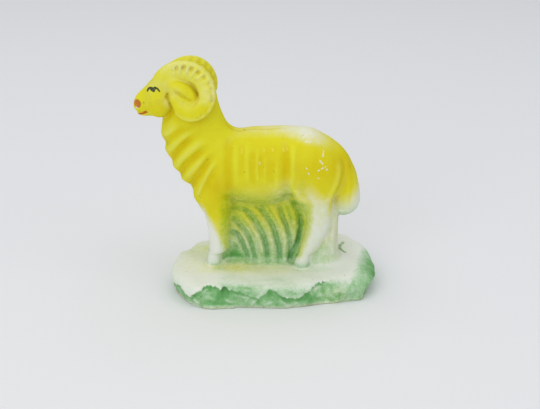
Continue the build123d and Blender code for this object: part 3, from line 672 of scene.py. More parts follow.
quads, owner, skin = [], [], []
for axis in range(3):
    a = [slice(None)] * 3
    b = [slice(None)] * 3
    a[axis], b[axis] = slice(None, -1), slice(1, None)
    la, lb = LABEL[tuple(a)], LABEL[tuple(b)]
    i, j, k = np.nonzero(la != lb)
    e = np.stack([i, j, k], 1)
    inside = np.ones(len(e), bool)
    u, w = (axis + 1) % 3, (axis + 2) % 3
    inside &= (e[:, u] > 0) & (e[:, w] > 0) & (e[:, u] < mixed.shape[u]) & (e[:, w] < mixed.shape[w])
    e = e[inside]
    ring = []
    for du, dw in ((-1, -1), (0, -1), (0, 0), (-1, 0)):
        cell = e.copy()
        cell[:, u] += du
        cell[:, w] += dw
        ring.append(index[cell[:, 0], cell[:, 1], cell[:, 2]])
    ring = np.stack(ring, 1)
    va, vb = la[e[:, 0], e[:, 1], e[:, 2]], lb[e[:, 0], e[:, 1], e[:, 2]]
    for lbl, other, qd in ((va, vb, ring), (vb, va, ring[:, ::-1])):
        m = lbl > 0
        quads.append(qd[m])
        owner.append(lbl[m])
        skin.append(other[m] == 0)
quads, owner, skin = np.concatenate(quads), np.concatenate(owner), np.concatenate(skin)

NORMAL = gradient(VERT, 0.9 * H)
NORMAL /= np.maximum(np.sqrt((NORMAL ** 2).sum(1)), 1e-6)[:, None]

# ------------------------------------------------------------------ airbrush: how much of each colour lands where
px, py, pz = VERT.T
ay = np.abs(py)
up_n = NORMAL[:, 2]
# how hollow, and how ridged, each spot is: the colours below use them to paint shade into hollows and paler colour on
# crests
hollow_1 = np.clip((1.1 - sample(FIELD, VERT + NORMAL * 1.1)) / 1.1, -1, 1)
hollow_2 = np.clip((2.8 - sample(FIELD, VERT + NORMAL * 2.8)) / 2.8, -1, 1)
crest = np.clip((1.1 + sample(FIELD, VERT - NORMAL * 1.1)) / 1.1, -1, 1)


def part(field):
    """Part's field at the vertices, the same on both sides."""
    g = (np.stack([px - X[0], ay, pz - Z[0]], 1)) / H
    g = np.clip(g, 0, np.array(field.shape) - 1.001)
    i = g.astype(np.int32)
    u = g - i
    out = 0
    for dx in (0, 1):
        for dy in (0, 1):
            for dz in (0, 1):
                w = (u[:, 0] if dx else 1 - u[:, 0]) * (u[:, 1] if dy else 1 - u[:, 1]) * (u[:, 2] if dz else 1 - u[:, 2])
                out = out + w * field[i[:, 0] + dx, i[:, 1] + dy, i[:, 2] + dz]
    return out


def plan(field, cols, u, v):
    """Map over two axes at the vertices."""
    a, b = (u - cols[0][0]) / H, (v - cols[1][0]) / H
    a, b = np.clip(a, 0, field.shape[0] - 1.001), np.clip(b, 0, field.shape[1] - 1.001)
    i, j = a.astype(int), b.astype(int)
    s, t = a - i, b - j
    return ((1 - s) * (1 - t) * field[i, j] + s * (1 - t) * field[i + 1, j] + (1 - s) * t * field[i, j + 1] + s * t * field[i + 1, j + 1])


def puff(u, v, cu, cv, ru, rv):
    return np.exp(-((u - cu) / ru) ** 2 - ((v - cv) / rv) ** 2)


on_horn = step(0.9, 0.1, part(horn)) * step(-39.0, -35.0, px - 0.35 * (pz - 82.0)) * step(79.0, 82.5, pz + 0.6 * np.clip(px + 33, 0, 9))
outer_horn = on_horn * step(-1.0, 1.2, ay - plan(along_horn(hp[:, 2]), (X, Z), px, pz))
on_ear = step(0.9, 0.1, part(ear))
on_fore = step(1.6, 0.2, part(foreleg)) * step(44, 38, pz)
on_hind = step(1.4, 0.2, part(hindleg))
on_tail = step(0.9, 0.1, part(tail))
on_panel = step(1.7, 0.2, part(panel)) * np.maximum(step(1.0, 1.6, ay), step(-12, -14, px) * step(37, 34, pz))
on_clump = step(1.5, 0.2, part(clump)) * step(38, 33, pz)
base_at = np.where(pz < 13.5, sample(base, np.stack([px, py, np.minimum(pz, 13.4)], 1)), 9)
on_base = step(1.0 + 1.2 * (step(-15.0, -12.0, px) * step(14.5, 12.0, px) + step(20.5, 24.0, px)), 0.3, base_at)
rel_body = plan(body_relief + neck_relief, (X, Z), px, pz) * step(-1, 1, ay - 2)
rel_grass = plan(grass_relief, (X, Z), px, pz)
rel_horn = plan(horn_relief, (X, Z), px, pz) * on_horn


def fit(x, rows, col):
    rows = np.asarray(rows, float)
    return np.interp(x, rows[:, 0], rows[:, col])


yellow = step(10.0, 15.0, pz)
# pale top of the back: x, cover lost, height of the border, half its width
BACK = [(-10, 0.0, 61.5, 1.8), (-7, 0.14, 61.6, 1.8), (-3, 0.22, 61.9, 1.8), (6, 0.34, 62.0, 1.5), (10, 0.5, 61.9, 1.6), (13.6, 0.66, 61.4, 1.9), (17.5, 0.80, 60.2, 2.1), (20, 0.74, 59.8, 2.1),
        (22.7, 0.54, 59.0, 1.9), (25.3, 0.24, 57.8, 1.6), (28, 0.05, 56.0, 1.6)]
lost, zb, wb = (fit(px, BACK, c) for c in (1, 2, 3))
yellow *= 1 - lost * step(zb - wb, zb + wb, pz) * step(50, 54, pz)
seam = np.exp(-((py + 1.6 + 0.25 * np.sin(px * 0.5)) / 0.7) ** 2) * step(-14, -11, px) * step(14, 6, px) * step(55, 58, pz)
yellow = np.maximum(yellow, 0.93 * seam)
# horns are thinly covered, least on the rim
yellow *= 1 - outer_horn * np.clip(0.02 + 0.17 * puff(px, pz, -30, 87.6, 7, 3.0) + 0.17 * puff(px, pz, -18.2, 77.5, 3.4, 6.0) + 0.06 * puff(px, pz, -23, 84, 5, 4) + 0.10 * np.clip(rel_horn, -0.5, 1), 0, 0.5)
yellow *= 1 - 0.12 * puff(px, pz, -37.5, 81.2, 3.5, 1.6) - 0.10 * puff(px, pz, -30.5, 79.2, 3.0, 1.8)
# fade down the legs, the tail and the belly
fore_z = np.interp(px, [-20.5, -18.7, -17.6, -16.9, -15.4, -14.3, -13.2, -12.0], [33.0, 28.5, 27.2, 25.6, 22.3, 19.0, 16.5, 14.5])
yellow *= 1 - on_fore * (1 - step(fore_z - 3.0, fore_z + 4.2, pz) * (0.80 + 0.2 * step(20, 32, pz)))
thigh_z, thigh_w = np.interp(px, [13, 17, 21, 24, 28], [42.0, 41.4, 39.6, 37.6, 36.6]), np.interp(px, [15, 20, 24], [7.2, 6.2, 4.2])
on_thigh = on_hind * (1 - on_panel) * (1 - on_tail)
white_leg = step(thigh_z + thigh_w, thigh_z - thigh_w, pz) * (0.93 - 0.20 * step(24, 33, pz))
shin_x = np.interp(pz, [10.5, 13.2, 17.3, 21.4, 25.5, 29.6, 33.0, 36.2, 39.0], [14.4, 16.0, 17.6, 18.9, 19.9, 20.2, 20.4, 20.4, 18.0])
shin = 0.66 * step(shin_x + 1.4, shin_x - 1.0, px) * step(11, 15, pz)
strip = 0.75 * puff(px, pz, 27.2, 34.4, 1.0, 3.4)
yellow *= 1 - on_thigh * white_leg * (1 - np.clip(shin + strip, 0, 1))
tail_z = np.interp(px, [28, 32, 35, 36.5, 38], [33.0, 34.2, 35.2, 37.0, 39.6])
yellow *= 1 - on_tail * (1 - step(tail_z - 4.5, tail_z + 5.5, pz)) * 0.88
belly = np.interp(px, [-12, -6, 0, 6, 12], [36.5, 37.6, 38.2, 39.4, 41.0])
on_belly = step(-13, -10, px) * step(14, 11, px) * (1 - on_panel) * (1 - on_fore) * (1 - on_hind) * step(28, 31, pz)
yellow *= 1 - (0.10 + 0.16 * step(2, 9, px)) * step(belly + 8.0, belly - 1.0, pz) * on_belly
lime = plan(border, (X, Z), px, pz) * step(1.5, 4.0, ay)
grass_y = np.clip(0.26 + 0.66 * step(14, 31, pz) + 0.10 * rel_grass + 0.16 * lime * step(31, 25, pz) - 0.20 * lime * step(25, 31, pz), 0, 0.95)
yellow = yellow * (1 - on_panel) + on_panel * grass_y
clump_y = 0.16 + 0.12 * step(14, 22, pz) + 0.70 * step(31, 37, pz)
yellow = yellow * (1 - on_clump) + on_clump * clump_y
# paler yellow on crests, partly wear and partly painted highlight; paler on the rolls of the wool, most on the neck, as
# painted highlight
yellow -= (0.20 * np.clip(crest, 0, 0.6) + (0.02 + 0.11 * step(-14, -20, px)) * np.clip(rel_body, 0, 1)) * (1 - on_base)
# spray that drifted on to the plinth
drift = (0.32 * puff(px, ay, 0, 9.2, 17, 5.0) + 0.38 * puff(px, ay, -10, 9.4, 7, 4.2) + 0.18 * puff(px, ay, -19, 10.5, 4, 3.5) + 0.24 * puff(px, py, -24, 7, 7, 11) + 0.07 * puff(px, py, 31, 8, 6, 9)
         + 0.10 * puff(px, py, -26, -6, 5, 7))
yellow = yellow * (1 - on_base) + on_base * (np.clip(drift, 0, 0.80) * step(4.0, 8.0, pz) + 0.14 * step(18, 28, px) * step(36, 30, px) * step(-12, -18, py) * step(8.0, 5.0, pz))

green = np.zeros(len(VERT))
# grass: deeper green in the grooves and hollows as painted shade, paler on ridges and crests as painted highlight
deep_grass = 0.17 + 0.11 * step(33, 15, pz) + 0.15 * step(16, 10, pz) - 0.20 * np.clip(rel_grass, -1.6, 0) - (0.16 - 0.12 * step(16, 11, pz)) * np.clip(rel_grass, 0, 1) + 0.10 * np.clip(hollow_2, 0, 1) - 0.15 * np.clip(crest, 0, 0.5)
# deeper green under the belly, in the corner behind the foreleg and along the hind leg: painted shade
deep_grass = deep_grass + 0.06 * step(35.0, 38.0, pz) + 0.16 * puff(px, pz, -10.2, 35.4, 3.4, 3.0) + 0.10 * puff(px, pz, 12.8, 31.0, 2.4, 8.0) + 0.08 * puff(px, pz, -8.0, 33.0, 5.0, 4.0)
deep_grass = deep_grass + 0.05 * np.clip(lime, 0, 1)
# darker green low on the left of the grass and along the groove beside the hind leg: painted shade
dark = 0.42 * puff(px, pz, -9.6, 11.8, 4.2, 2.1) + 0.16 * puff(px, pz, -9.2, 14.4, 2.6, 3.2) + 0.16 * puff(px, pz, 15.8, 20.0, 1.1, 8.0)
green = np.maximum(green, on_panel * np.clip(deep_grass + dark, 0, 1))
# that painted shade also reaches the inner edge of the foreleg
green = np.maximum(green, 0.35 * on_fore * step(-15.5, -13.5, px) * np.clip(dark, 0, 1))
# overspray on the belly and along the inner edges of the legs; the two puffs in the corners between the belly and the
# legs are painted shade
line = np.interp(px, [-12.3, -10, -7, -3.2, 1.4, 5.3, 8.3, 10.6, 12.1, 14], [38.6, 37.0, 35.8, 34.8, 34.5, 35.2, 36.4, 38.2, 38.8, 38.0])
green = np.maximum(green, 0.24 * step(line + 8.0, line - 0.8, pz) * on_belly)
green = np.maximum(green, 0.26 * puff(px, pz, -11.4, 38.0, 2.6, 2.6) * step(0.5, 3.0, ay))
green = np.maximum(green, 0.28 * puff(px, pz, 12.0, 38.6, 2.2, 1.8) * step(0.5, 3.0, ay))
green = np.maximum(green, 0.20 * on_fore * step(-15.8, -12.8, px) * step(39, 34, pz) * step(12, 15, pz))
green = np.maximum(green, on_thigh * step(38.5, 34.5, pz) * step(12, 14, pz) * (0.03 + 0.12 * step(shin_x + 1.2, shin_x - 1.4, px) + 0.10 * step(shin_x - 1.6, shin_x - 3.4, px)))
green = np.maximum(green, 0.07 * on_hind * puff(px, pz, 15.0, 42.0, 4.0, 5.0))
# more green in the clump's hollows: painted shade
green = np.maximum(green, on_clump * (0.03 + 0.06 * step(19, 9, pz) + 0.14 * np.clip(hollow_1, 0, 1) + 0.15 * puff(px, pz, 24.0, 14.0, 4.6, 6.0)) * step(34, 29, pz))
hoof = np.maximum(on_fore, on_hind)
green = np.maximum(green, hoof * (0.05 * step(16, 14, pz) + 0.28 * step(12.0, 10.0, pz)))
green = np.maximum(green, 0.12 * on_tail * step(32.0, 29.6, pz) + 0.07 * on_tail * step(38, 32, pz))
# plinth: sprayed green under the broken edge, worn off the facets' edges
edge_at = plan(edge_z, (X, Y), px, py)
rim_at = plan(rim_d, (X, Y), px, py)
tone_at = sample(tone, np.stack([px, py, np.clip(pz, 0, 13)], 1))
cut_at = plan(cut, (X, Y), px, py)
under = np.maximum(edge_at - pz, 0.8 * (cut_at - rim_at - 0.45))
on_side = step(8.0, 6.0, rim_at)
below = step(-0.35 - 3.2 * step(25, 31, px) * step(-10, -14, py), 0.3, under) * on_side
fronting = step(-14, -19, py)
# deeper green right under the broken edge, in hollows and in the dark grooves is painted shade; paler on crests and
# worn ridges
side_green = (0.64 + 0.34 * tone_at + 0.14 * step(2.4, 0.2, under) + 0.4 * np.clip(hollow_1, 0, 0.8) - 0.8 * np.clip(crest, 0, 0.5) - 0.05 * step(2.2, 0.6, pz)
              + fronting * (0.22 * plan(rock_dark, (X, Z), px, pz) - 0.34 * plan(rock_lines, (X, Z), px, pz)))
right = step(25, 31, px) * step(12, 4, py)
end_x = np.interp(py, [-24, -20, -15.5, -6, 3, 12], [30.5, 32.5, 35.0, 37.6, 39.5, 41.5])
soft = (0.63 * step(end_x - 0.5, end_x + 5.5, px) * step(16, 7, py) * (0.78 + 0.22 * step(3.5, 6.0, pz)) + 0.48 * puff(px, py, 47.0, -8, 3.8, 8.0) * step(2.5, 5.0, pz)
        - 0.35 * puff(px, py, 44.6, -14.5, 1.3, 2.2) * np.exp(-((pz - 6.0) / 0.9) ** 2))
soft = np.maximum(soft, right * step(5.0, 1.5, rim_at) * 0.45 * step(7.6, 4.2, pz) * (1 + 0.4 * tone_at))
top_mist = (0.015 + 0.05 * step(5.0, 0.0, rim_at) * step(-3.0, -0.2, under) + 0.5 * plan(hollow, (X, Y), px, py) * step(2.0, 4.0, pz) + 0.08 * puff(px, py, -26, 12, 9, 9)
            + fronting * (0.58 * puff(px, pz, -5.0, 6.4, 5.4, 1.5) + 0.34 * puff(px, pz, 9.0, 6.2, 10.0, 2.0) + 0.16 * puff(px, pz, 15.5, 5.2, 4.0, 1.5) + 0.32 * puff(px, pz, -12.0, 8.3, 2.6, 1.0)))
flat = np.maximum(top_mist, np.minimum(soft, 0.9))
side_green = side_green * (1 - 0.18 * step(19, 27, px) * step(6, 0, py) * step(1.5, 6.0, pz) - 0.10 * step(27, 33, px) * step(6, 0, py) - 0.2 * step(-25, -29, px) * step(0, -6, py)) + (0.24 * puff(px, pz, -15, 4.4, 5.5, 3.2) - 0.42 * puff(px, pz, 20.4, 6.6, 2.4, 1.8) - 0.16 * puff(px, pz, -2.6, 3.4, 3.0, 2.0)) * fronting
green = green * (1 - on_base) + on_base * (below * np.clip(np.maximum(side_green, soft), 0, 0.93) + (1 - below) * flat)
green = np.maximum(green, step(0.0, 0.35, on_base) * 0.40 * step(-14.5, -11, px) * step(17.5, 15, px) * step(8.4, 5.2, ay) * step(4.0, 7.0, pz))
# deeper green in the plinth's hollows: painted shade
green = np.maximum(green, on_base * 0.20 * np.clip(hollow_2 * 1.5 - 0.25, 0, 1) * step(6, 8, pz))
green = np.maximum(green, on_base * (0.10 * puff(px, py, 23, -9.5, 5, 3) + 0.05 * puff(px, ay, 2, 9.5, 20, 4.5) + 0.16 * puff(px, ay, -15.0, 10.4, 2.0, 2.2)) * step(4, 7, pz))
clay = on_base * step(1.5, 0.3, pz) * (0.50 + 0.8 * tone_at)

# golden: a deeper hue on the shoulder, haunch, rump and cheek; deeper still in furrows, hollows and between the horn's
# ridges as painted shade, less on rolls and crests as painted highlight
golden_and_shade = (0.18 + 0.62 * puff(px, pz, -15.5, 42, 6, 9) + 0.55 * puff(px, pz, 22, 50, 9, 7) + 0.40 * puff(px, pz, 4, 53, 9, 6) + 0.55 * puff(px, pz, 33, 49, 4, 7) + 0.25 * puff(px, pz, -37, 71, 6, 3.5)
          - 0.55 * np.clip(rel_body, -1.2, 1.0) + 0.5 * np.clip(hollow_1, 0, 0.6) + 0.4 * np.clip(hollow_2, 0, 0.8) - 0.5 * np.clip(crest, 0, 0.5) - 0.25 * outer_horn)
golden_and_shade = golden_and_shade + outer_horn * 0.4 * step(0.0, -0.4, rel_horn) + (on_horn - outer_horn) * 0.05
golden_and_shade = np.clip(golden_and_shade * (1 - 0.9 * np.maximum(np.clip(lime, 0, 1), on_thigh * step(39, 35, pz))), 0, 1)
# painted shade in the crack at the foot of the clump: dark green here and brown below
green = np.maximum(green, 0.75 * plan(crack, (X, Y), px, py) * step(6, 7.5, pz) * step(13.5, 12.5, pz))
golden_and_shade = np.clip(golden_and_shade + 0.5 * seam, 0, 1)
smudge_and_crack_shade = 0.95 * plan(crack, (X, Y), px, py) * step(6, 7.5, pz) * step(13.5, 12.5, pz)
# brown specks on the horn rims and on the near side of the neck
for x, z, k in [(-27.2, 87.5, 0.8), (-29.6, 87.0, 0.4), (-21.9, 86.0, 0.7), (-19.4, 84.6, 0.5), (-17.6, 82.6, 0.6), (-17.0, 80.6, 0.7), (-16.7, 77.6, 1.0), (-16.7, 76.4, 0.95), (-17.6, 73.6, 0.8), (-24.2, 87.0, 0.3)]:
    smudge_and_crack_shade = np.maximum(smudge_and_crack_shade, k * outer_horn * puff(px, pz, x, z, 0.5, 0.65))
smudge_and_crack_shade = np.maximum(smudge_and_crack_shade, step(-1, -4, py) * (0.4 * puff(px, pz, -34.6, 60.4, 0.7, 0.7) + 0.5 * puff(px, pz, -34.1, 58.2, 0.8, 0.9)))

VERT[:, 0] += SHIFT
VERT[:, 2] -= 0.35 * SHIFT
ATTR = {"yellow": np.clip(yellow, 0, 1), "green": np.clip(green, 0, 1), "golden_and_shade": golden_and_shade, "smudge_and_crack_shade": smudge_and_crack_shade, "clay": np.clip(clay, 0, 1), "worn": on_base * on_side}
# brush work, knocks and painted highlights (the glints), in millimetres over x and z: strokes with their half widths
BROW = [((-40.5, 78.25), (-40.0, 79.15)), ((-40.0, 79.15), (-39.1, 79.75)), ((-39.1, 79.75), (-38.2, 79.55)), ((-38.2, 79.55), (-37.4, 79.95)), ((-37.4, 79.95), (-36.6, 79.55)), ((-36.6, 79.55), (-35.9, 78.65))]
EYE = [((-38.8, 79.05), (-38.1, 78.75))]
LID = [((-39.3, 79.45), (-38.7, 79.25)), ((-37.7, 78.95), (-37.1, 79.65))]
LIPS = [((-44.3, 68.8), (-43.2, 69.0)), ((-43.2, 69.0), (-42.2, 69.3)), ((-42.2, 69.3), (-41.2, 69.8)), ((-42.1, 69.7), (-41.5, 70.0))]
CHIPS = [((16.8, 60.9), (18.3, 61.6)), ((17.6, 59.8), (19.3, 59.6)), ((24.2, 56.6), (24.0, 55.0)), ((22.7, 53.5), (23.9, 52.4)), ((23.2, 50.7), (24.9, 51.0)), ((25.2, 50.0), (25.5, 50.1)),
         ((17.8, 51.0), (17.9, 50.8)), ((18.6, 48.9), (18.8, 48.7)), ((22.1, 50.0), (22.4, 50.1)), ((22.0, 47.2), (22.6, 47.0)), ((0.6, 52.8), (0.5, 52.2))]
# small bright yellow glints on the flank's ribs: painted highlights
PAINTED_GLINTS = [((-6.0, 57.4), (-6.0, 55.8)), ((2.2, 57.5), (2.2, 56.7)), ((5.4, 57.6), (5.4, 56.9)), ((9.2, 57.8), (9.6, 56.6)), ((10.4, 57.6), (11.0, 57.2))]

# ------------------------------------------------------------------ materials


def bisque(name, face=False, chips_and_painted_glints=False):
    """Matt unglazed ceramic with airbrushed colour; face adds the brush work, the last flag the chips and a few painted
    highlights (glints).
    """
    m = bpy.data.materials.new(name)
    m.use_nodes = True
    nt = m.node_tree
    bsdf = nt.nodes["Principled BSDF"]

    def node(kind, **kw):
        n = nt.nodes.new(kind)
        for k, v in kw.items():
            setattr(n, k, v)
        return n

    def put(socket, v):
        if isinstance(v, bpy.types.NodeSocket):
            nt.links.new(v, socket)
        else:
            socket.default_value = v

    def math_(op, a, b=0.0, c=0.0, clamp=False):
        n = node("ShaderNodeMath", operation=op, use_clamp=clamp)
        put(n.inputs[0], a)
        put(n.inputs[1], b)
        put(n.inputs[2], c)
        return n.outputs[0]

    def vec(op, a, b=None, scale=None):
        n = node("ShaderNodeVectorMath", operation=op)
        put(n.inputs[0], a)
        if b is not None:
            put(n.inputs[1], b)
        if scale is not None:
            put(n.inputs["Scale"], scale)
        return n.outputs["Value"] if op in ("LENGTH", "DOT_PRODUCT") else n.outputs["Vector"]

    def ramp(v, a, b, c=0.0, d=1.0):
        n = node("ShaderNodeMapRange", interpolation_type="SMOOTHSTEP")
        for s, x in zip(n.inputs, (v, a, b, c, d)):
            put(s, x)
        return n.outputs[0]

    def mix(f, a, b):
        n = node("ShaderNodeMix", data_type="RGBA")
        put(n.inputs[0], f)
        put(n.inputs[6], a)
        put(n.inputs[7], b)
        return n.outputs[2]

    def attr(name):
        return node("ShaderNodeAttribute", attribute_type="GEOMETRY", attribute_name=name).outputs["Fac"]

    coord = node("ShaderNodeTexCoord").outputs["Object"]
    mm = vec("SCALE", coord, scale=1000.0)
    flat = vec("MULTIPLY", mm, (1.0, 0.0, 1.0))

    def strokes(segments, half):
        """Distance outside a set of strokes drawn over x and z."""
        near = None
        for (ax, az), (bx, bz) in segments:
            ba = (bx - ax, 0.0, bz - az)
            pa = vec("SUBTRACT", flat, (ax, 0.0, az))
            t = math_("MULTIPLY", vec("DOT_PRODUCT", pa, ba), 1.0 / max(ba[0] ** 2 + ba[2] ** 2, 1e-6), clamp=True)
            d = vec("LENGTH", vec("SUBTRACT", pa, vec("SCALE", ba, scale=t)))
            near = d if near is None else math_("MINIMUM", near, d)
        return math_("SUBTRACT", near, half)

    def noise(scale, detail=2.0, rough=0.5):
        n = node("ShaderNodeTexNoise")
        put(n.inputs["Vector"], mm)
        n.inputs["Scale"].default_value, n.inputs["Detail"].default_value, n.inputs["Roughness"].default_value = scale, detail, rough
        return n.outputs["Fac"]

    grain, mottle, dust, fleck, blotch = noise(1.9, 3.0, 0.65), noise(0.17, 3.0, 0.55), noise(4.5, 2.0, 0.6), noise(0.62, 1.0, 0.4), noise(0.5, 2.0, 0.6)

    def sprayed(v, strength):
        """Spray breaks up into grain where it thins out."""
        thin = math_("MULTIPLY", v, math_("SUBTRACT", 1.0, v))
        jitter = math_("MULTIPLY", math_("SUBTRACT", math_("ADD", grain, blotch), 1.0), strength)
        return math_("MULTIPLY_ADD", thin, jitter, v, clamp=True)

    def laid(mask, colour, paint):
        return mix(mask, colour, paint)

    y, g = sprayed(attr("yellow"), 2.2), sprayed(attr("green"), 3.0)
    body = mix(mottle, (0.785, 0.815, 0.725, 1), (0.84, 0.85, 0.79, 1))
    # the golden attribute carries both the golden hue and the painted shade of the hollows
    gold = math_("ADD", attr("golden_and_shade"), math_("MULTIPLY", math_("SUBTRACT", mottle, 0.5), 0.7), clamp=True)
    lemon = mix(gold, (0.765, 0.735, 0.025, 1), (0.68, 0.55, 0.0045, 1))
    colour = mix(y, body, lemon)
    stain = node("ShaderNodeCombineColor")
    depth = math_("MULTIPLY", g, math_("MULTIPLY_ADD", g, 0.22, 0.78))
    depth = math_("MULTIPLY", depth, math_("SUBTRACT", 1.0, math_("MULTIPLY", attr("worn"), ramp(noise(0.24, 3.0, 0.55), 0.42, 0.70, 0.0, 0.36))))
    depth = math_("MULTIPLY", depth, math_("MULTIPLY_ADD", mottle, -0.24, 1.12))
    for socket, clear in zip(stain.inputs, (0.143, 0.415, 0.13)):
        put(socket, math_("POWER", clear, depth))
    tinted = node("ShaderNodeMix", data_type="RGBA", blend_type="MULTIPLY")
    tinted.inputs[0].default_value = 1.0
    put(tinted.inputs[6], colour)
    put(tinted.inputs[7], stain.outputs[0])
    colour = tinted.outputs[2]
    colour = laid(math_("MULTIPLY", attr("clay"), ramp(grain, 0.35, 0.6, 0.2, 0.8)), colour, (0.40, 0.31, 0.16, 1))
    # brown: specks on the horns and neck, and painted shade in the crack by the clump
    colour = laid(math_("MULTIPLY", attr("smudge_and_crack_shade"), ramp(grain, 0.3, 0.65, 0.1, 0.75)), colour, (0.33, 0.26, 0.12, 1))
    # dark flecks in the body and paint
    speck = math_("MULTIPLY", ramp(fleck, 0.735, 0.775), ramp(grain, 0.45, 0.6))
    colour = mix(math_("MULTIPLY", speck, 0.5), colour, (0.16, 0.11, 0.03, 1))
    wobble = math_("MULTIPLY", math_("SUBTRACT", grain, 0.5), 0.35)
    if chips_and_painted_glints:
        side = node("ShaderNodeSeparateXYZ")
        put(side.inputs[0], mm)
        near_side = math_("LESS_THAN", side.outputs["Y"], 0.0)
        chips = ramp(math_("ADD", strokes(CHIPS, 0.04), math_("MULTIPLY", math_("SUBTRACT", math_("ADD", dust, grain), 1.0), 1.6)), 0.22, -0.06, 0.0, 0.92)
        colour = laid(math_("MULTIPLY", chips, near_side), colour, (0.86, 0.86, 0.82, 1))
        # painted highlights: small bright yellow glints on the near flank
        painted_glints = ramp(math_("ADD", strokes(PAINTED_GLINTS, 0.22), wobble), 0.15, -0.10, 0.0, 0.6)
        colour = laid(math_("MULTIPLY", painted_glints, near_side), colour, (0.92, 0.74, 0.12, 1))
    if face:
        nostril = math_("SUBTRACT", vec("LENGTH", vec("MULTIPLY", vec("SUBTRACT", flat, (-44.5, 0.0, 73.0)), (0.74, 0.0, 0.65))), 1.0)
        colour = laid(ramp(math_("ADD", nostril, wobble), 0.20, -0.10, 0.0, 0.88), colour, mix(ramp(blotch, 0.40, 0.62), (0.50, 0.12, 0.028, 1), (0.64, 0.19, 0.055, 1)))
        colour = laid(ramp(math_("ADD", strokes(LIPS, 0.36), wobble), 0.14, -0.10, 0.0, 0.9), colour, (0.50, 0.095, 0.012, 1))
        colour = laid(ramp(math_("ADD", strokes([((-45.1, 71.6), (-44.6, 71.4))], 0.25), wobble), 0.08, -0.08, 0.0, 0.9), colour, (0.84, 0.84, 0.78, 1))
        colour = laid(ramp(strokes([((-42.4, 73.4), (-41.9, 74.0))], 0.10), 0.12, -0.06, 0.0, 0.55), colour, (0.10, 0.09, 0.02, 1))
        ink = math_("MINIMUM", math_("MINIMUM", strokes(BROW, 0.30), strokes(EYE, 0.55)), strokes(LID, 0.20))
        colour = laid(ramp(math_("ADD", ink, wobble), 0.11, -0.07, 0.0, 0.94), colour, (0.013, 0.03, 0.026, 1))
        colour = laid(ramp(strokes([((-38.7, 79.05), (-38.3, 78.85))], 0.22), 0.16, -0.08, 0.0, 0.55), colour, (0.10, 0.17, 0.15, 1))
    put(bsdf.inputs["Base Color"], colour)
    put(bsdf.inputs["Roughness"], ramp(grain, 0.25, 0.75, 0.70, 0.88))
    bsdf.inputs["Specular IOR Level"].default_value = 0.13
    rough = math_("MULTIPLY_ADD", dust, 0.35, grain)
    bump = node("ShaderNodeBump")
    bump.inputs["Strength"].default_value = 0.35
    bump.inputs["Distance"].default_value = 0.00012
    put(bump.inputs["Height"], rough)
    put(bsdf.inputs["Normal"], bump.outputs["Normal"])
    return m


FINISH = {n: bisque(n) for n in ("yellow_bisque", "white_bisque", "green_bisque")}
FINISH["head"] = bisque("yellow_bisque_face", face=True)
FINISH["torso"] = FINISH["tail"] = bisque("yellow_bisque_worn_painted_glints", chips_and_painted_glints=True)
FINISH["left_hind_leg"] = bisque("white_bisque_worn_painted_glints", chips_and_painted_glints=True)

names = {n + 1: name for n, name in enumerate(order)}
PIECE = {11: "rock_base"}
for n, name in names.items():
    if paired[n]:
        PIECE[n], PIECE[n + 20] = "left_" + name, "right_" + name
    else:
        PIECE[n] = name
SLOT = {"rock_base": "green_bisque", "grass_panel": "green_bisque", "grass_clump": "green_bisque", "left_foreleg": "white_bisque", "right_foreleg": "white_bisque",
        "left_hind_leg": "white_bisque", "right_hind_leg": "white_bisque"}
for mark, name in PIECE.items():
    mine = owner == mark
    q = quads[mine]
    used, flat = np.unique(q, return_inverse=True)
    q = flat.reshape(q.shape)
    v = VERT[used] * 0.001
    mesh = bpy.data.meshes.new("bisque_" + name)
    mesh.from_pydata(v.tolist(), [], q.tolist())
    mesh.polygons.foreach_set("use_smooth", np.ones(len(q), bool))
    nrm = NORMAL[used][q]
    e1, e2 = v[q[:, 2]] - v[q[:, 0]], v[q[:, 3]] - v[q[:, 1]]
    face = np.cross(e1, e2)
    face /= np.maximum(np.sqrt((face ** 2).sum(1)), 1e-12)[:, None]
    nrm = np.where(skin[mine][:, None, None], nrm, face[:, None, :])
    mesh.normals_split_custom_set(nrm.reshape(-1, 3).tolist())
    for key, vals in ATTR.items():
        mesh.attributes.new(key, "FLOAT", "POINT").data.foreach_set("value", vals[used].astype(F32))
    slot = SLOT.get(name, "yellow_bisque")
    mesh.materials.append(FINISH.get(name, FINISH[slot]))
    piece = bpy.data.objects.new("bisque_" + name, mesh)
    bpy.context.collection.objects.link(piece)
    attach(piece, "root")
    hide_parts(name)

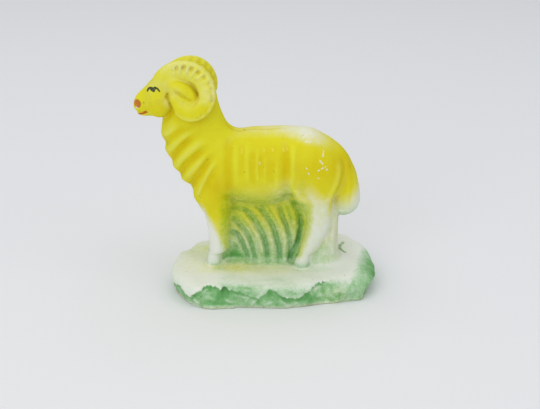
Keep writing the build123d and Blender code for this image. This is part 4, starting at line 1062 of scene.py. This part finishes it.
# ------------------------------------------------------------------ camera, light and floor
cam = bpy.data.cameras.new("camera")
cam.lens, cam.sensor_width, cam.sensor_fit = 69.733, 36.0, "HORIZONTAL"
cam.clip_start, cam.clip_end = 0.01, 10
camera = bpy.data.objects.new("camera", cam)
yaw, pitch = math.radians(0.8106), math.radians(20.7595)
look = Vector((math.sin(yaw) * math.cos(pitch), math.cos(yaw) * math.cos(pitch), -math.sin(pitch)))
camera.location = (-0.0008, -0.378207, 0.175227)
camera.rotation_euler = look.to_track_quat("-Z", "Y").to_euler()
bpy.context.collection.objects.link(camera)
bpy.context.scene.camera = camera

sheet = bpy.data.meshes.new("floor")
sheet.from_pydata([(-4, -4, 0), (4, -4, 0), (4, 4, 0), (-4, 4, 0)], [], [(0, 1, 2, 3)])
floor = bpy.data.objects.new("floor", sheet)
bpy.context.collection.objects.link(floor)
paper = bpy.data.materials.new("paper")
paper.use_nodes = True
paper.node_tree.nodes["Principled BSDF"].inputs["Base Color"].default_value = (0.83, 0.835, 0.85, 1)
paper.node_tree.nodes["Principled BSDF"].inputs["Roughness"].default_value = 0.9
sheet.materials.append(paper)


def area(name, loc, target, size, power, colour=(1, 1, 1)):
    l = bpy.data.lights.new(name, "AREA")
    l.shape, l.size, l.size_y, l.energy, l.color = "RECTANGLE", size[0], size[1], power, colour
    o = bpy.data.objects.new(name, l)
    o.location = loc
    o.rotation_euler = (Vector(target) - Vector(loc)).to_track_quat("-Z", "Y").to_euler()
    bpy.context.collection.objects.link(o)


area("top_softbox", (-0.15, 0.10, 1.25), (0, 0.15, 0.0), (1.9, 1.9), 9.9)
area("front_fill", (-0.35, -0.78, 0.36), (0, 0, 0.05), (0.7, 0.5), 2.0)
area("right_fill", (0.70, -0.45, 0.40), (0, 0, 0.05), (0.6, 0.6), 0.75)
world = bpy.data.worlds.new("studio")
world.use_nodes = True
world.node_tree.nodes["Background"].inputs["Color"].default_value = (0.95, 0.97, 1.0, 1)
world.node_tree.nodes["Background"].inputs["Strength"].default_value = 0.46
bpy.context.scene.world = world
bpy.context.scene.view_settings.view_transform = "Standard"
